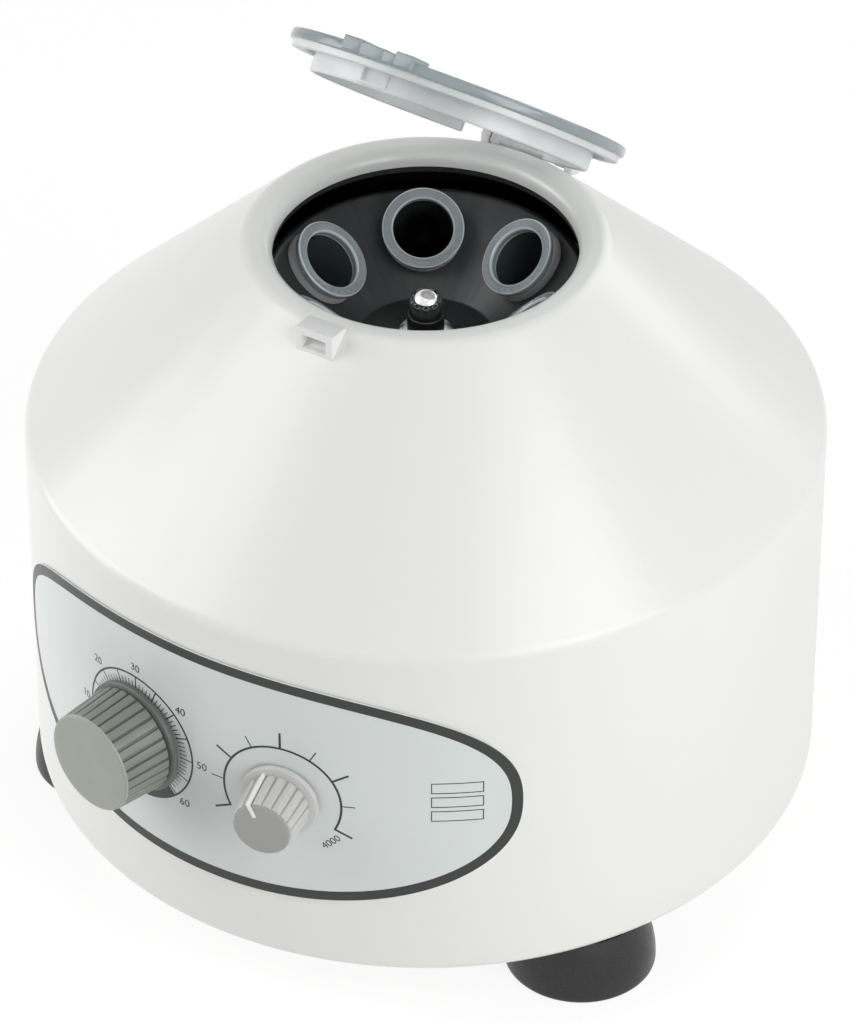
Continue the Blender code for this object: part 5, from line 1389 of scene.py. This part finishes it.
class CENTRIFUGE_OT_inside(bpy.types.Operator):
    """Finishes of the solids that stay as they are: drive, stand, base plate and electrics"""
    bl_idname = "centrifuge.inside"
    bl_label = "Drive and electrics"

    def execute(self, context):
        kept = {
            "zinc_steel": ("base_plate", "foot_screw_1", "foot_screw_2", "foot_screw_3", "motor_stand",
                           "motor_plate", "motor_can", "speed_body"),
            "turned_steel": ("motor_shaft", "timer_shaft", "speed_shaft"),
            "bright_steel": ("bearing_upper", "bearing_lower", "timer_nut", "speed_nut"),
            "cast_alloy": ("motor_bell_top", "motor_bell_bottom", "board_heatsink", "timer_body"),
            "laminated_iron": ("field_core", "armature_core"),
            "winding_copper": ("field_coil_upper", "field_coil_lower", "commutator"),
            "carbon": ("carbon_brush_left", "carbon_brush_right"),
            "fuse_black": ("brush_holder_left", "brush_holder_right", "cooling_fan", "board_capacitor"),
            "damper_rubber": ("rubber_damper_1", "rubber_damper_2", "rubber_damper_3"),
            "board_green": ("control_board",),
        }
        for name, nodes in kept.items():
            for node in nodes:
                solid = frame["nodes"][node]
                if not solid.material_slots:
                    solid.data.materials.append(finish(name))
                for place in solid.material_slots:
                    place.material = finish(name)
        return {"FINISHED"}


# Stage
class CENTRIFUGE_OT_stage(bpy.types.Operator):
    """Pale floor, soft studio lights, white surroundings and the camera"""
    bl_idname = "centrifuge.stage"
    bl_label = "Stage"

    def execute(self, context):
        self.world()
        self.floor()
        for name, place, size, power in (("softbox_left", (-0.95, -0.75, 0.95), 0.9, 7.9),
                                         ("softbox_right", (1.05, -0.25, 0.85), 0.8, 8.0),
                                         ("softbox_top", (0.05, 0.10, 1.35), 1.0, 1.6),
                                         ("softbox_back", (0.20, 1.20, 0.80), 0.9, 5.0),
                                         ("low_left", (-1.20, -0.50, 0.30), 0.8, 6.4),
                                         ("low_right", (1.20, -0.60, 0.30), 0.8, 4.4)):
            lamp = bpy.data.lights.new(name, "AREA")
            lamp.shape, lamp.size, lamp.energy = "SQUARE", size, power
            ob = bpy.data.objects.new(name, lamp)
            ob.location = place
            ob.rotation_euler = (Vector((0.0, 0.0, 0.10)) - Vector(place)).to_track_quat("-Z", "Y").to_euler()
            bpy.context.scene.collection.objects.link(ob)
        self.camera()
        view = bpy.context.scene.view_settings
        view.view_transform = "Standard"
        return {"FINISHED"}

    def see_white(self, weave, plain, white):
        """Shows white to the camera, and in gloss and clear plastic, and the plain shader to the rest."""
        node = weave.tree.nodes.new("ShaderNodeLightPath")
        rays = node.outputs
        glossy_or_clear = weave.math("MAXIMUM", rays["Is Glossy Ray"], rays["Is Transmission Ray"])
        seen = weave.math("MAXIMUM", rays["Is Camera Ray"], glossy_or_clear)
        return weave("ShaderNodeMixShader", {0: seen, 1: plain, 2: white})

    def world(self):
        world = bpy.data.worlds.new("studio")
        world.use_nodes = True
        bpy.context.scene.world = world
        weave = Weaver(world.node_tree)
        world.node_tree.nodes.clear()
        plain = weave("ShaderNodeBackground", {"Color": (1.0, 1.0, 1.0, 1.0), "Strength": 0.14})
        white = weave("ShaderNodeBackground", {"Color": (1.0, 1.0, 1.0, 1.0), "Strength": 1.0})
        end = world.node_tree.nodes.new("ShaderNodeOutputWorld")
        world.node_tree.links.new(self.see_white(weave, plain, white), end.inputs["Surface"])

    def floor(self):
        bm = bmesh.new()
        bmesh.ops.create_grid(bm, x_segments=1, y_segments=1, size=3.0)
        material, shader, weave, where = new_finish("studio_floor")
        tone = noise(weave, where, 3.0)
        feed(weave, shader, "Base Color", blended(weave, tone, (0.86, 0.86, 0.85), (0.90, 0.90, 0.89)))
        constants(shader, {"Roughness": 0.9, "Specular IOR Level": 0.1})
        glow = weave("ShaderNodeEmission", {"Color": (1.0, 1.0, 1.0, 1.0), "Strength": 1.085})
        shadowed = weave("ShaderNodeMixShader", {0: 0.79, 1: shader.outputs[0], 2: glow})
        end = material.node_tree.nodes["Material Output"]
        feed(weave, end, "Surface", self.see_white(weave, shader.outputs[0], shadowed))
        new_piece("studio_floor", bm, material)

    def camera(self):
        data = bpy.data.cameras.new("camera")
        data.lens, data.sensor_width = 197.27, 36.0
        data.shift_x, data.shift_y = -0.0003, -0.0572
        camera = bpy.data.objects.new("camera", data)
        place, target = Vector((0.78492, axis_y - 1.24163, 1.22173)), Vector((0.0, axis_y, 0.132))
        camera.location = place
        camera.rotation_euler = (target - place).to_track_quat("-Z", "Y").to_euler()
        bpy.context.scene.collection.objects.link(camera)
        bpy.context.scene.camera = camera


# Panel and registration
STEPS = (CENTRIFUGE_OT_housing, CENTRIFUGE_OT_panel, CENTRIFUGE_OT_knobs, CENTRIFUGE_OT_lid,
         CENTRIFUGE_OT_rotor, CENTRIFUGE_OT_sleeves, CENTRIFUGE_OT_chamber, CENTRIFUGE_OT_feet,
         CENTRIFUGE_OT_rear, CENTRIFUGE_OT_inside, CENTRIFUGE_OT_stage)


class CENTRIFUGE_PT_sidebar(bpy.types.Panel):
    """Sizes, colours and steps of the centrifuge"""
    bl_label = "Centrifuge"
    bl_idname = "CENTRIFUGE_PT_sidebar"
    bl_space_type = "VIEW_3D"
    bl_region_type = "UI"
    bl_category = "Centrifuge"

    def draw(self, context):
        for step in STEPS:
            self.layout.operator(step.bl_idname)
        for name in ("housing", "panel", "lid", "knobs", "rotor", "feet", "colours"):
            group = getattr(context.scene.centrifuge, name)
            box = self.layout.box()
            box.label(text=name.capitalize())
            for item in group.bl_rna.properties:
                if not item.is_readonly and item.identifier != "name":
                    box.prop(group, item.identifier)


CLASSES = (HousingSizes, PanelSizes, LidSizes, KnobSizes, RotorSizes, FootSizes, Colours, CentrifugeSettings,
           *STEPS, CENTRIFUGE_PT_sidebar)


def register():
    for item in CLASSES:
        bpy.utils.register_class(item)
    bpy.types.Scene.centrifuge = PointerProperty(type=CentrifugeSettings)


def unregister():
    del bpy.types.Scene.centrifuge
    for item in reversed(CLASSES):
        bpy.utils.unregister_class(item)


def main():
    register()
    for step in STEPS:
        group, name = step.bl_idname.split(".")
        getattr(getattr(bpy.ops, group), name)()


if __name__ == "__main__":
    main()
